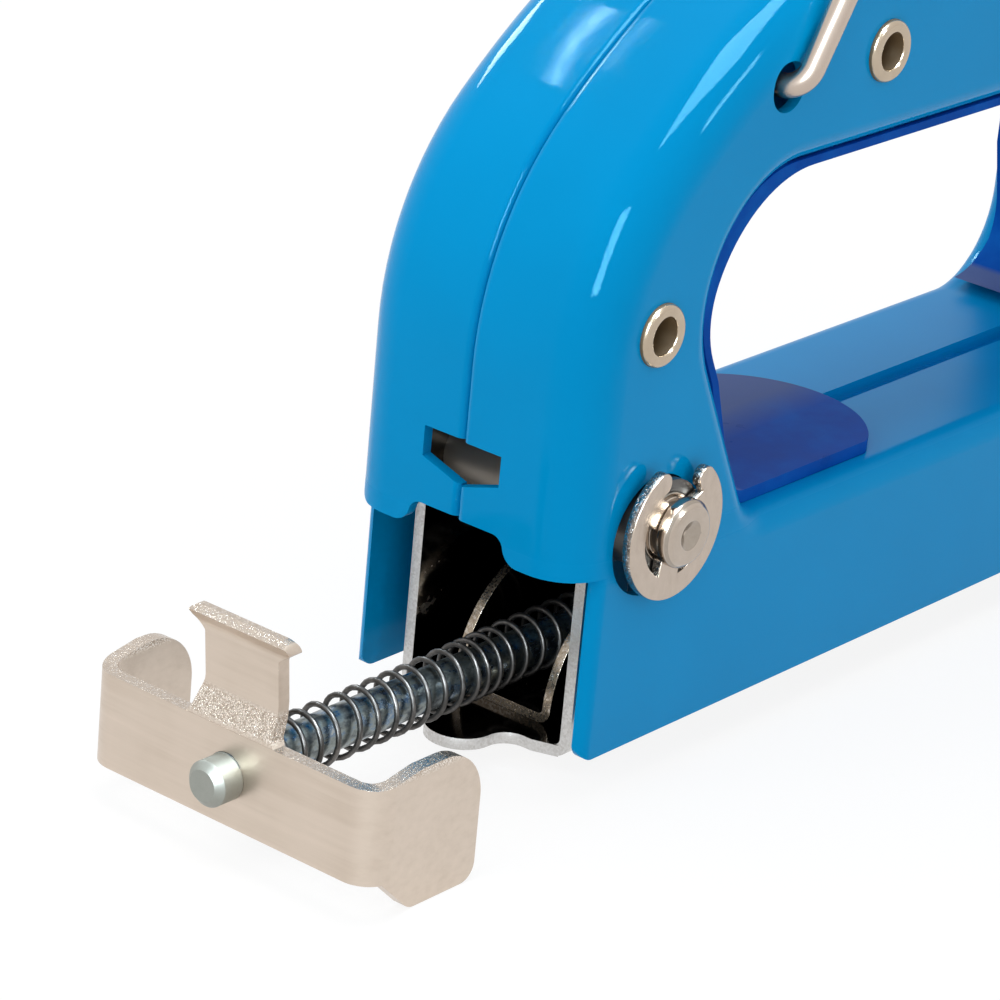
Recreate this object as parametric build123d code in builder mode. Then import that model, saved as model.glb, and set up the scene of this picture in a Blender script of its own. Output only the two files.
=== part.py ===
from build123d import *
from math import acos, cos, radians, sin, tan
import os

# A light-duty hand staple gun, in millimetres.
# Origin: middle of the nose plate's foot, which stands on the work.
# +X points forwards, +Y to the tool's left, +Z up. The pusher assembly is drawn
# pulled out at the rear, the lever raised and the wire bail standing free.

# ---------------------------------------------------------------- driving dimensions
# body shells
body_length = 120.0          # nose plate centre to the rear wall's outer face
body_width = 24.4            # across both shells
shell_t = 1.0                # shell sheet
seam_gap = 0.3               # between the two shells along the spine
seam_step = 0.35             # the left shell's spine lies lower than the right's
seam_r = 0.8                 # rounding of the spine's edges along the seam
spine_wall_h = 15.1          # straight rear wall, above the bar's top
spine_r = 26.0               # rear curve of the spine
spine_turn = 48.0            # degrees turned by the rear curve
crest_r = 75.0               # flatter curve over the grip
crest_slope = 8.0            # degrees, slope of the top towards the nose
front_corner_r = 8.0         # top front corner
shoulder_r = 4.5             # rounding along the spine
edge_r = 2.2                 # rounding along the bar and the finger opening
bar_fold_r = 1.3             # rounding of the bar's rear edges
bar_corner_r = 1.6           # lower rear corner of the bar, seen from the side
wall_corner_r = 2.6          # lower outer corner of the left shell's rear wall
bar_h = 16.0                 # height of the lower bar's sides
bar_rear_inset = 3.4         # the bar's sides end ahead of the rear wall
bar_slot_w = 2.2             # gap between the two top flanges of the bar
slot_ledge_t = 1.0           # joggled ledge under the gap
slot_ledge_drop = 0.2        # running gap over the ledge
front_gap = 0.65             # nose plate to the shells' front flange
front_window_h = 30.5        # opening round the nose plate
lever_slot_x = (-60.0, -16.0)
lever_slot_w = 18.8
lever_slot_low = 66.0        # the slot is open above this height
ledge_x = (-93.0, -37.0)

# finger opening
opening_rear_r = 10.5        # upper rear curve
opening_lean = 27.0          # degrees, lean of the rear edge from upright
opening_h = 30.1             # bar top to the grip's underside
opening_rear_x = 15.2        # rear wall to the opening's rearmost point
opening_front_x = 28.4       # opening's front edge, behind the nose plate
opening_front_r = 8.0
opening_root_r = 3.2         # corners at the bar

# rear wall's window, bridge and notch, measured up from the bar's top
notch_w = 10.0
notch_h = 2.2
notch_r = 1.2
lobe_r = 1.6
slot_start = 22.0            # rear wall to the start of the bar's top slot
slot_end = 2.0               # the slot runs this far past the opening's front edge
window_w = 8.2
window_low = 4.9             # lowest point of the window's V edge
window_v = 1.3
window_high = 8.8

# magazine channel
channel_bottom = 1.75        # underside of the channel above the nose's foot
channel_t = 1.0
channel_w = 18.0             # outside width
channel_bend_r = 1.6
channel_rear_inset = 6.1     # rear wall to the channel's rear edge
shell_above_channel = 1.75   # shells' lower edge above the channel's underside
tongue_l = 5.9               # floor tongue behind the channel's rear edge
tongue_w = 6.0
tongue_root_r = 2.0
floor_lip = 0.8              # the floor reaches this far behind the side walls
floor_lip_w = 11.5
ear_l = 11.0                 # length of the rear ears that hold the latch pin
ear_top_above_pin = 6.0
ear_corner_round = 4.0
channel_wall_h = 15.25       # side walls ahead of the ears
lip_w = 13.0                 # turned-down front lip of the floor
fit_gap = 0.3                # clearance between moving pieces
rail_t = 0.8
rail_w = 10.2
rail_h = 10.0
rail_rear_inset = 2.1        # channel's rear edge to the rail's rear edge
rail_end_r = 9.6             # curve in which the rail's walls end at the rear

# latch pin, bushes and E-clips
pin_r = 2.9
pin_x = 10.8                 # behind it, the rear wall
pin_above_channel = 20.75
pin_hole_r = 5.1
pin_hole_drop = 0.75
pin_hole_back = 0.8
bush_r = 3.95
bush_proud = 0.75            # bush end beyond the shell
run_gap = 0.05               # radial running clearance
clip_r = 5.9
clip_t = 0.9
clip_band = 1.9
clip_gap = 0.1               # bush to its clip
clip_mouth = 35.0            # degrees, half of the clip's mouth
clip_turn = -8.0             # degrees, a mouth on the right leans forwards
clip_turn_left = 90.0        # the latch pin's left clip opens to the rear
pin_proud = 1.4              # pin end beyond its clip
pin_chamfer = 0.5
dimple_r = 2.0
dimple_depth = 0.9

# tubular rivets
rivet_r = 2.0
rivet_bore_r = 1.55
rivet_rim_r = 2.62
rivet_rim_h = 0.6
sleeve_r = 3.0
rear_rivet_x = 8.2           # ahead of the rear wall
rear_rivet_z = 37.35         # above the channel's underside
grip_rivet_x = 34.9
grip_rivet_z = 55.65
column_rivet_x = 20.5        # behind the nose plate
column_rivet_z = (26.45, 42.45)

# wire bail
wire_r = 1.0
bail_x = 21.75               # ahead of the rear wall
bail_z = 54.95               # above the channel's underside
bail_hole_r = 2.1
bail_reach = 30.0
bail_angle = 58.0            # degrees above the horizontal, at rest
bail_stand_off = 1.25        # wire centre outside the shell
bail_bend_r = 2.0
bail_tail = 2.6              # wire inside the shell

# latch bracket, guide rod and spring
bracket_t = 1.2
bracket_w = 30.0             # outside width over its ears
bracket_out = 25.1           # plate's rear face behind the rear wall
plate_over_tongue = 0.2      # plate's lower edge above the channel's floor
plate_high = 9.2             # plate's upper edge above the channel's underside
bracket_bend_r = 2.6
ear_front = 12.5             # right ear's front edge ahead of the plate's rear face
ear_front_left = 10.7        # the left ear is shorter
ear_high = 9.95
ear_sweep = 4.0              # the upper edge rises over this length
ear_lobe_l = 7.6
ear_corner_r = 4.6
# hook tab, from the plate's upper edge
tab_knee = (1.25, 2.6)       # forwards and up to its bend
tab_throat = (0.75, 7.4)     # start of its lip
tab_lip = (-0.3, 8.6)        # lip's upper edge, curled back
tab_base_w = 8.4
tab_neck_w = 7.6
tab_lip_w = 10.0
tab_lip_r = 0.8              # its rounded corners
tab_lip_shift = -0.3         # the lip sits off centre
rod_r = 1.75
rod_above_channel = 5.5
rod_reach = 46.0             # rod ahead of the plate's rear face
stub_l = 2.6                 # riveted end behind the plate
stub_r = 1.9
stub_drop = 0.25             # the riveted end sits below the rod's axis
spring_wire_r = 0.24
spring_r = 2.4               # coil centre radius
spring_pitch = 2.05
latch_travel = 26.8          # pulled out to latched
follower_l = 14.0
follower_gap = 0.3
follower_front_stop = 0.6    # follower to the exit slot when latched
follower_w = 13.2

# nose, striker and lever
plate_t = 1.2                # nose plate
nose_w = 15.0
nose_plate_drop = 3.4        # front face ends below the upper spring seat
nose_shoulder = 3.8          # the plate widens above this height
nose_flange_l = 8.0          # side flanges behind the plate's rear face
nose_bend_r = 2.5
nose_ear_r = 4.5             # ears round the column rivets
blade_t = 0.7
blade_w = 11.4
blade_gap = 0.1
hammer_l = 10.4
hammer_w = 10.0
hammer_low = 43.0            # above the nose's foot
hammer_h = 14.0
lever_pivot_x = 31.5         # behind the nose plate
lever_pivot_z = 58.0
lever_arm = 24.0             # pivot to the lifting tip
lever_sweep = 28.0           # degrees from raised to pressed
lever_t = 1.2
lever_w = 18.0
lever_pin_r = 2.5
lever_pin_proud = 2.0        # pin end beyond the shell
lever_clip_r = 4.6
lever_clip_t = 0.7
lever_clip_gap = 0.15        # shell to its clip
lever_boss_r = 7.0
arm_t = 4.0                  # lifting arm's thickness
arm_hub_r = 5.0
arm_rivet_up = 11.0          # rivet that joins arm and lever, above the pivot
arm_rivet_r = 1.6
arm_root_half = 3.6          # half height of the lifting arm at the hub
arm_step = (12.0, 2.6)       # along the arm, its half height there
arm_neck_back = 6.5          # arm is slim this far behind its tip
arm_neck_half = 0.95
slot_half_h = 2.35           # half height of the hammer's slot
slot_front_gap = 1.0
hammer_rivet_r = 1.2
guide_top = 42.0
shelf_l = 8.0
blade_tip = 0.2
guide_post_l = 5.0
tip_r = 2.0
main_spring_r = 3.6
main_spring_wire_r = 0.65
main_spring_coils = 5
spring_cap_z = 75.4          # underside of the upper spring seat
spring_cap_t = 1.2
guide_post_r = 2.3
bumper_h = 3.0

# liner
liner_w = 22.2
liner_low_w = 19.4           # its width beside the bar
liner_taper_z = (4.0, 13.0)  # it narrows between these heights above the bar
liner_lip = 0.8              # proud of the grip's underside
liner_inner_r = 12.0
liner_arc_x = 28.0           # centre of its inner curve ahead of the rear wall
liner_foot_t = 1.15
liner_foot_x = -71.1         # foremost point of the foot on the bar
liner_foot_r = 10.9          # its rounded front
liner_foot_corner_r = 1.6
liner_foot_start = 1.0
liner_blend_r = 8.0

# ---------------------------------------------------------------- derived places
half_w = body_width / 2
inner_half = half_w - shell_t
rear_x = -body_length
shell_low = channel_bottom + shell_above_channel
bar_top = shell_low + bar_h
bar_rear = rear_x + bar_rear_inset
front_x = plate_t / 2 + front_gap + shell_t
channel_rear = rear_x + channel_rear_inset
channel_floor = channel_bottom + channel_t
channel_half = channel_w / 2
pin_at = (rear_x + pin_x, channel_bottom + pin_above_channel)
bail_at = (rear_x + bail_x, channel_bottom + bail_z)
rivets_at = [
    (rear_x + rear_rivet_x, channel_bottom + rear_rivet_z),
    (rear_x + grip_rivet_x, channel_bottom + grip_rivet_z),
] + [(-column_rivet_x, channel_bottom + z) for z in column_rivet_z]
pivot_at = (-lever_pivot_x, lever_pivot_z)
rod_z = channel_bottom + rod_above_channel
plate_rear = rear_x - bracket_out
plate_front = plate_rear + bracket_t
nose_plate_h = spring_cap_z - nose_plate_drop
blade_x = -plate_t / 2 - blade_gap - blade_t
lip_x = blade_x - blade_gap
follower_rear = lip_x - follower_front_stop - latch_travel - follower_l
half_sweep = lever_sweep / 2
tip_rest_z = lever_pivot_z - lever_arm * sin(radians(half_sweep))
tip_rest_x = -lever_pivot_x + lever_arm * cos(radians(half_sweep))

os.makedirs("parts", exist_ok=True)


def save(part, node):
    """Label a finished piece and write its STEP file."""
    part.label = node
    export_step(part, f"parts/{node}.step")


def side_plane(y):
    """Plane of the side view at a given Y; extrusions run towards -Y."""
    return Plane(origin=(0, y, 0), x_dir=(1, 0, 0), z_dir=(0, -1, 0))


def spine_outline(inset):
    """Closed side outline of the body, inset from its outer skin."""
    wall_x = rear_x + inset
    arc_c = (rear_x + spine_r, bar_top + spine_wall_h)
    r1 = spine_r - inset
    r2 = crest_r - inset
    end1 = (arc_c[0] - r1 * cos(radians(spine_turn)), arc_c[1] + r1 * sin(radians(spine_turn)))
    lean = 90 - spine_turn
    crest_c = (end1[0] + r2 * sin(radians(lean)), end1[1] - r2 * cos(radians(lean)))
    mid = (lean + crest_slope) / 2
    mid2 = (crest_c[0] - r2 * sin(radians(mid)), crest_c[1] + r2 * cos(radians(mid)))
    end2 = (
        crest_c[0] - r2 * sin(radians(crest_slope)),
        crest_c[1] + r2 * cos(radians(crest_slope)),
    )
    nose_x = front_x - inset
    top_front = (nose_x, end2[1] + (nose_x - end2[0]) * tan(radians(crest_slope)))
    half = radians(spine_turn / 2)
    mid1 = (arc_c[0] - r1 * cos(half), arc_c[1] + r1 * sin(half))
    return wall_x, arc_c, mid1, end1, mid2, end2, top_front


def body_profile(inset, foot_x, foot_z):
    """Sketch of the body's outline down to foot_z, with the bar starting at foot_x."""
    wall_x, arc_c, mid1, end1, mid2, end2, top_front = spine_outline(inset)
    with BuildSketch(Plane.XZ) as profile:
        with BuildLine():
            l1 = Line((wall_x, bar_top), (wall_x, arc_c[1]))
            a1 = ThreePointArc(l1 @ 1, mid1, end1)
            a2 = ThreePointArc(a1 @ 1, mid2, end2)
            Polyline(
                a2 @ 1, top_front, (top_front[0], foot_z), (foot_x, foot_z), (foot_x, bar_top), l1 @ 0
            )
        make_face()
        corner = profile.vertices().sort_by_distance((*top_front, 0))[0]
        fillet(corner, front_corner_r - inset)
    return profile.sketch


def opening_wire_points(grow):
    """Corner data of the finger opening, grown outwards by a distance."""
    rear = rear_x + opening_rear_x + opening_rear_r
    top = bar_top + opening_h + grow
    centre = (rear, bar_top + opening_h - opening_rear_r)
    r = opening_rear_r + grow
    lean = radians(opening_lean)
    arc_end = (centre[0] - r * cos(lean), centre[1] - r * sin(lean))
    low = bar_top - grow
    foot = (arc_end[0] + (arc_end[1] - low) * tan(lean), low)
    diag = radians((90 - opening_lean) / 2)
    arc_mid = (centre[0] - r * cos(diag), centre[1] + r * sin(diag))
    return centre, top, arc_mid, arc_end, foot, -opening_front_x + grow


def opening_profile(grow):
    """Sketch of the finger opening, grown outwards by a distance."""
    centre, top, arc_mid, arc_end, foot, front = opening_wire_points(grow)
    with BuildSketch(Plane.XZ) as profile:
        with BuildLine():
            a1 = ThreePointArc((centre[0], top), arc_mid, arc_end)
            Polyline(arc_end, foot, (front, foot[1]), (front, top), a1 @ 0)
        make_face()
        corners = profile.vertices()
        fillet(corners.sort_by_distance((*foot, 0))[0], opening_root_r + grow)
        fillet(
            [v for v in profile.vertices() if abs(v.X - front) < 1e-6], opening_front_r + grow
        )
    return profile.sketch


def half_solid(inset, grow, foot_x, foot_z, depth, round_spine, round_edge, round_seam=0):
    """One half of the body as a solid block with rounded outer edges."""
    with BuildPart() as block:
        extrude(body_profile(inset, foot_x, foot_z), amount=depth)
        outer = block.edges().filter_by(lambda e: abs(e.center().Y + depth) < 1e-6)
        spine = outer.filter_by(lambda e: e.center().Z > bar_top + 1 and e.length > 1)
        fillet(spine, round_spine)
        if round_seam:
            seam = block.edges().filter_by(lambda e: abs(e.center().Y) < 1e-6)
            fillet(seam.filter_by(lambda e: e.center().Z > bar_top + 1 and e.length > 1), round_seam)
        extrude(opening_profile(grow), amount=depth, mode=Mode.SUBTRACT)
        rim = (
            block.edges()
            .filter_by(lambda e: abs(e.center().Y + depth) < 1e-6)
            .filter_by(lambda e: rear_x + opening_rear_x - 3 < e.center().X < -opening_front_x + 3)
            .filter_by(lambda e: bar_top - 3 < e.center().Z < bar_top + opening_h + 3)
        )
        fillet(rim, round_edge)
    return block.part


def bar_rear_block(x, half, fold, low):
    """Rear end of the lower bar with its rounded edge."""
    with BuildPart() as block:
        with BuildSketch(Plane.XY.offset(low)):
            with Locations((x, 0)):
                Rectangle(8, half, align=(Align.MIN, Align.MAX))
            fillet(vertices().sort_by_distance((x, -half, 0))[0], fold)
        extrude(amount=bar_top - low)
    return block.part


def shell_blank(inset):
    """The right-hand shell before it is pierced; inset lowers its spine."""
    with BuildPart() as shell:
        add(half_solid(inset, 0, bar_rear + 3, shell_low, half_w, shoulder_r, edge_r, seam_r))
        add(bar_rear_block(bar_rear, half_w, bar_fold_r, shell_low))
        low = shell_low - shell_t
        foot = bar_rear + 3 + shell_t
        hollow = half_solid(
            inset + shell_t, shell_t, foot, low, inner_half, shoulder_r - shell_t, edge_r - shell_t
        )
        add(hollow, mode=Mode.SUBTRACT)
        add(
            bar_rear_block(bar_rear + shell_t, inner_half, bar_fold_r - shell_t, low),
            mode=Mode.SUBTRACT,
        )
    return shell.part


def round_hole(x, z, r):
    """Cut a round hole across the whole width, in the part being built."""
    with BuildSketch(Plane.XZ) as disc:
        with Locations((x, z)):
            Circle(r)
    extrude(disc.sketch, amount=2 * half_w, both=True, mode=Mode.SUBTRACT)


def pierced_shell(inset):
    """The right-hand shell with its openings."""
    lobes_low = bar_top - 1
    with BuildPart() as shell:
        add(shell_blank(inset))
        # rear: between the bar's sides, then the notch and window of the wall
        with Locations((bar_rear, 0, shell_low - 1)):
            Box(
                4,
                2 * inner_half,
                bar_h + 1,
                align=(Align.CENTER, Align.CENTER, Align.MIN),
                mode=Mode.SUBTRACT,
            )
        with BuildSketch(Plane.YZ.offset(rear_x - 1)):
            with Locations((0, lobes_low)):
                Rectangle(notch_w, notch_h + 1, align=(Align.CENTER, Align.MIN))
            with BuildLine():
                Polyline(
                    (0, bar_top + window_low),
                    (window_w / 2, bar_top + window_low + window_v),
                    (window_w / 2, bar_top + window_high),
                    (-window_w / 2, bar_top + window_high),
                    (-window_w / 2, bar_top + window_low + window_v),
                    close=True,
                )
            make_face()
        extrude(amount=3, mode=Mode.SUBTRACT)
        corner = (
            shell.edges()
            .filter_by(Axis.X)
            .filter_by(lambda e: e.center().X < rear_x + 2 and abs(e.center().Z - bar_top) < 0.01)
            .filter_by(lambda e: abs(e.center().Y + notch_w / 2) < 0.01)
        )
        fillet(corner, lobe_r)
        inner_corner = (
            shell.edges()
            .filter_by(Axis.X)
            .filter_by(lambda e: abs(e.center().Z - bar_top - notch_h) < 0.01)
            .filter_by(lambda e: e.center().X < rear_x + 2 and abs(e.center().Y + notch_w / 2) < 0.01)
        )
        fillet(inner_corner, notch_r)
        # rounded lower rear corner of the bar
        with BuildSketch(Plane.XZ):
            with Locations((bar_rear - 1, shell_low - 1)):
                Rectangle(bar_corner_r + 1, bar_corner_r + 1, align=(Align.MIN, Align.MIN))
            with Locations((bar_rear + bar_corner_r, shell_low + bar_corner_r)):
                Circle(bar_corner_r, mode=Mode.SUBTRACT)
        extrude(amount=half_w, both=True, mode=Mode.SUBTRACT)
        # slot between the bar's top flanges
        with Locations((rear_x + slot_start, 0, bar_top + shell_t / 2)):
            Box(
                body_length - slot_start - opening_front_x + slot_end,
                bar_slot_w,
                2 * shell_t,
                align=(Align.MIN, Align.CENTER, Align.MAX),
                mode=Mode.SUBTRACT,
            )
        # front window round the nose plate, lever slot
        with Locations((front_x, 0, shell_low - 1)):
            Box(
                4,
                nose_w,
                front_window_h + 1,
                align=(Align.CENTER, Align.CENTER, Align.MIN),
                mode=Mode.SUBTRACT,
            )
        with Locations((lever_slot_x[0], 0, lever_slot_low)):
            Box(
                lever_slot_x[1] - lever_slot_x[0],
                lever_slot_w,
                body_length,
                align=(Align.MIN, Align.CENTER, Align.MIN),
                mode=Mode.SUBTRACT,
            )
        # holes
        round_hole(pin_at[0] - pin_hole_back, pin_at[1] - pin_hole_drop, pin_hole_r)
        round_hole(*bail_at, bail_hole_r)
        round_hole(*pivot_at, lever_pin_r + run_gap)
        for x, z in rivets_at:
            round_hole(x, z, rivet_r + run_gap)
        # seam
        with Locations((0, 0, 0)):
            Box(3 * body_length, seam_gap, 2 * body_length, mode=Mode.SUBTRACT)
    return shell.part


def e_clip(y, radius, groove_r, x, z, turn=clip_turn):
    """Sketch of a three-lobed E-clip on the side plane at y, its mouth turned from upright."""
    lean = (cos(radians(turn)), 0, sin(radians(turn)))
    plane = Plane(origin=(x, y, z), x_dir=lean, z_dir=(0, -1, 0))
    band = radius * clip_band / clip_r
    reach = 2 * radius
    half = radians(clip_mouth)
    lobe_at = (radius - band / 2 + groove_r) / 2
    with BuildSketch(plane) as clip:
        Circle(radius)
        Circle(radius - band, mode=Mode.SUBTRACT)
        with PolarLocations(lobe_at, 3, start_angle=30):
            Rectangle(radius - band / 2 - groove_r, 0.42 * radius)
        with BuildLine():
            Polyline(
                (0, 0),
                (reach * sin(half), reach * cos(half)),
                (-reach * sin(half), reach * cos(half)),
                close=True,
            )
        make_face(mode=Mode.SUBTRACT)
        # rounded prong tips
        tip_at = radius - band / 2
        with Locations((tip_at * sin(half), tip_at * cos(half))):
            Circle(band / 2)
        with Locations((-tip_at * sin(half), tip_at * cos(half))):
            Circle(band / 2)
        Circle(groove_r, mode=Mode.SUBTRACT)
    return clip.sketch


def u_channel(x0, x1, half, t, low, high, bend):
    """Upright U of sheet running along X."""
    with BuildPart() as u:
        with BuildSketch(Plane.YZ.offset(x0)):
            with Locations((0, low)):
                Rectangle(2 * half, high - low, align=(Align.CENTER, Align.MIN))
            fillet(vertices().filter_by(lambda v: v.Y < low + 0.01), bend)
            with Locations((0, low + t)):
                Rectangle(2 * (half - t), high, align=(Align.CENTER, Align.MIN), mode=Mode.SUBTRACT)
            root = vertices().filter_by(
                lambda v: abs(abs(v.X) - half + t) < 0.01 and abs(v.Y - low - t) < 0.01
            )
            fillet(root, bend - t)
        extrude(amount=x1 - x0)
    return u.part


def helix_spring(start, along, length, radius, wire, pitch):
    """Open coil from a start point along a direction."""
    with BuildPart() as coil:
        with BuildLine() as path:
            Helix(pitch=pitch, height=length, radius=radius, center=start, direction=along)
        with BuildSketch(Plane(path.line @ 0, z_dir=path.line % 0)):
            Circle(wire)
        sweep(is_frenet=True)
    return coil.part


# ================================================================ body shells
blank = pierced_shell(0)
with BuildPart() as right_shell:
    add(blank)
save(right_shell.part, "right_shell")

ledge_z = bar_top - shell_t - slot_ledge_drop - slot_ledge_t
slot_half = bar_slot_w / 2
with BuildPart() as left_shell:
    add(mirror(pierced_shell(seam_step), about=Plane.XZ))
    # rounded lower outer corner of the rear wall
    with BuildSketch(Plane.YZ.offset(rear_x - 1)):
        with Locations((half_w + 1, bar_top - 1)):
            Rectangle(wall_corner_r + 1, wall_corner_r + 1, align=(Align.MAX, Align.MIN))
        with Locations((half_w - wall_corner_r, bar_top + wall_corner_r)):
            Circle(wall_corner_r, mode=Mode.SUBTRACT)
    extrude(amount=bar_rear_inset + 1, mode=Mode.SUBTRACT)
    # joggled ledge that closes the gap between the bar's top flanges from below
    with Locations((ledge_x[0], -slot_half - 1.5, ledge_z)):
        Box(
            ledge_x[1] - ledge_x[0],
            bar_slot_w + 2.5,
            slot_ledge_t,
            align=(Align.MIN, Align.MIN, Align.MIN),
        )
    with Locations((ledge_x[0], slot_half, ledge_z)):
        Box(
            ledge_x[1] - ledge_x[0],
            1.0,
            bar_top - shell_t / 2 - ledge_z,
            align=(Align.MIN, Align.MIN, Align.MIN),
        )
save(left_shell.part, "left_shell")

# ================================================================ finger liner
liner_out = 0.05
lean = radians(opening_lean)
outer_c = opening_wire_points(0)[0]
arc_c = (rear_x + liner_arc_x, bar_top + opening_h - liner_lip - liner_inner_r)
between = (arc_c[0] - outer_c[0]) * cos(lean) + (arc_c[1] - outer_c[1]) * sin(lean)
turn = lean - acos((between + opening_rear_r - liner_lip) / liner_inner_r)
arc_end = (arc_c[0] - liner_inner_r * cos(turn), arc_c[1] - liner_inner_r * sin(turn))
half_turn = (turn - radians(90)) / 2
arc_mid = (arc_c[0] - liner_inner_r * cos(half_turn), arc_c[1] - liner_inner_r * sin(half_turn))
foot_top = bar_top + liner_out + liner_foot_t
foot_root = (arc_end[0] + (arc_end[1] - foot_top) * tan(lean), foot_top)
inner_front = -opening_front_x - liner_out - liner_lip
inner_top = bar_top + opening_h - liner_lip
foot_centre = liner_foot_x - liner_foot_r
foot_start = foot_root[0] - 5
with BuildPart() as finger_liner:
    add(extrude(opening_profile(-liner_out), amount=liner_w / 2, both=True, mode=Mode.PRIVATE))
    with BuildSketch(Plane.XZ):
        with BuildLine():
            Line((inner_front, inner_top), (arc_c[0], inner_top))
            ThreePointArc((arc_c[0], inner_top), arc_mid, arc_end)
            Polyline(arc_end, foot_root, (inner_front, foot_top), (inner_front, inner_top))
        make_face()
        fillet(vertices().sort_by_distance((*arc_end, 0))[0], liner_blend_r)
        fillet(vertices().sort_by_distance((*foot_root, 0))[0], opening_root_r - liner_lip)
        fillet(vertices().filter_by(lambda v: abs(v.X - inner_front) < 0.01), opening_front_r - 1)
    extrude(amount=liner_w, both=True, mode=Mode.SUBTRACT)
    # only a tongue of the lower side is left, lying on the bar
    with BuildSketch(Plane.XY.offset(bar_top)):
        with Locations((foot_root[0] + liner_foot_start, 0)):
            Rectangle(body_length, 2 * liner_w, align=(Align.MIN, Align.CENTER))
        with BuildSketch(mode=Mode.SUBTRACT):
            with Locations((foot_centre, 0)):
                Circle(liner_foot_r)
            with Locations((foot_start, 0)):
                Rectangle(foot_centre - foot_start, liner_low_w, align=(Align.MIN, Align.CENTER))
                Rectangle(
                    body_length, liner_low_w, align=(Align.MIN, Align.CENTER), mode=Mode.INTERSECT
                )
            front = vertices().filter_by(lambda v: v.X > foot_centre + 0.1)
            fillet(front, liner_foot_corner_r)
    extrude(amount=liner_out + liner_foot_t + 0.01, mode=Mode.SUBTRACT)
    # narrower beside the bar
    with BuildSketch(Plane.YZ.offset(rear_x)):
        with BuildLine():
            Polyline(
                (liner_low_w / 2, bar_top),
                (liner_low_w / 2, bar_top + liner_taper_z[0]),
                (liner_w / 2, bar_top + liner_taper_z[1]),
                (liner_w, bar_top + liner_taper_z[1]),
                (liner_w, bar_top),
                close=True,
            )
        make_face()
        mirror(about=Plane.YZ)
    extrude(amount=body_length, mode=Mode.SUBTRACT)
save(finger_liner.part, "finger_liner")

# ================================================================ magazine
wall_top = channel_bottom + channel_wall_h
ear_top = pin_at[1] + ear_top_above_pin
with BuildPart() as magazine_channel:
    add(
        u_channel(
            channel_rear, lip_x, channel_half, channel_t, channel_bottom, ear_top, channel_bend_r
        )
    )
    with BuildSketch(Plane.XZ):
        with BuildLine():
            Polyline(
                (channel_rear, channel_bottom - 1),
                (lip_x, channel_bottom - 1),
                (lip_x, wall_top),
                (channel_rear + ear_l, wall_top),
                (channel_rear + ear_l, ear_top),
                (channel_rear, ear_top),
                close=True,
            )
        make_face()
        fillet(vertices().group_by(Axis.Y)[-1], ear_corner_round)
        fillet(vertices().sort_by_distance((channel_rear + ear_l, wall_top, 0))[0], 2)
    extrude(amount=channel_w, both=True, mode=Mode.INTERSECT)
    # the floor's rear lip and tongue
    with BuildSketch(Plane.XY.offset(channel_bottom)):
        with Locations((channel_rear - tongue_l, 0)):
            Rectangle(tongue_l + 3, tongue_w, align=(Align.MIN, Align.CENTER))
        with Locations((channel_rear - floor_lip, 0)):
            Rectangle(floor_lip + 3, floor_lip_w, align=(Align.MIN, Align.CENTER))
        with BuildLine():
            Polyline(
                (channel_rear - floor_lip, floor_lip_w / 2),
                (channel_rear, channel_half - channel_t),
                (channel_rear, -channel_half + channel_t),
                (channel_rear - floor_lip, -floor_lip_w / 2),
                close=True,
            )
        make_face()
        fillet(vertices().group_by(Axis.X)[0], tongue_w / 2 - 0.05)
        root = vertices().filter_by(
            lambda v: abs(v.X - channel_rear + floor_lip) < 0.01
            and abs(abs(v.Y) - tongue_w / 2) < 0.01
        )
        fillet(root, tongue_root_r)
    extrude(amount=channel_t)
    # turned-down front lip
    with Locations((lip_x, 0, 0)):
        Box(
            channel_t, lip_w, channel_floor, align=(Align.MAX, Align.CENTER, Align.MIN)
        )
    round_hole(*pin_at, pin_r + run_gap)
save(magazine_channel.part, "magazine_channel")

rail_rear = channel_rear + rail_rear_inset
rail_floor = channel_floor + rail_t
with BuildPart() as magazine_rail:
    add(
        u_channel(
            rail_rear, lip_x - 1.5, rail_w / 2, rail_t, channel_floor, channel_floor + rail_h, 1.2
        )
    )
    # the walls end in a curve that leans forwards
    with BuildSketch(Plane.XZ):
        with Locations((rail_rear - 1, rail_floor)):
            Rectangle(1 + rail_end_r, rail_end_r, align=(Align.MIN, Align.MIN))
        with Locations((rail_rear + rail_end_r, rail_floor)):
            Circle(rail_end_r, mode=Mode.SUBTRACT)
    extrude(amount=rail_w, both=True, mode=Mode.SUBTRACT)
save(magazine_rail.part, "magazine_rail")

# follower that pushes the staples: bridge over the rail, core inside, legs outside
bridge_z = channel_floor + rail_h + fit_gap
with BuildPart() as pusher_block:
    with Locations((follower_rear, 0, rail_floor + fit_gap)):
        Box(
            follower_l,
            rail_w - 2 * rail_t - 2 * fit_gap,
            bridge_z - rail_floor - fit_gap,
            align=(Align.MIN, Align.CENTER, Align.MIN),
        )
    with Locations((follower_rear, 0, bridge_z)):
        Box(follower_l, follower_w, 1.3, align=(Align.MIN, Align.CENTER, Align.MIN))
    for side_sign in (-1, 1):
        with Locations((follower_rear, side_sign * (follower_w / 2 - 0.6), channel_floor + 0.8)):
            Box(follower_l, 1.2, bridge_z - channel_floor, align=(Align.MIN, Align.CENTER, Align.MIN))
save(pusher_block.part, "pusher_block")

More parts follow.
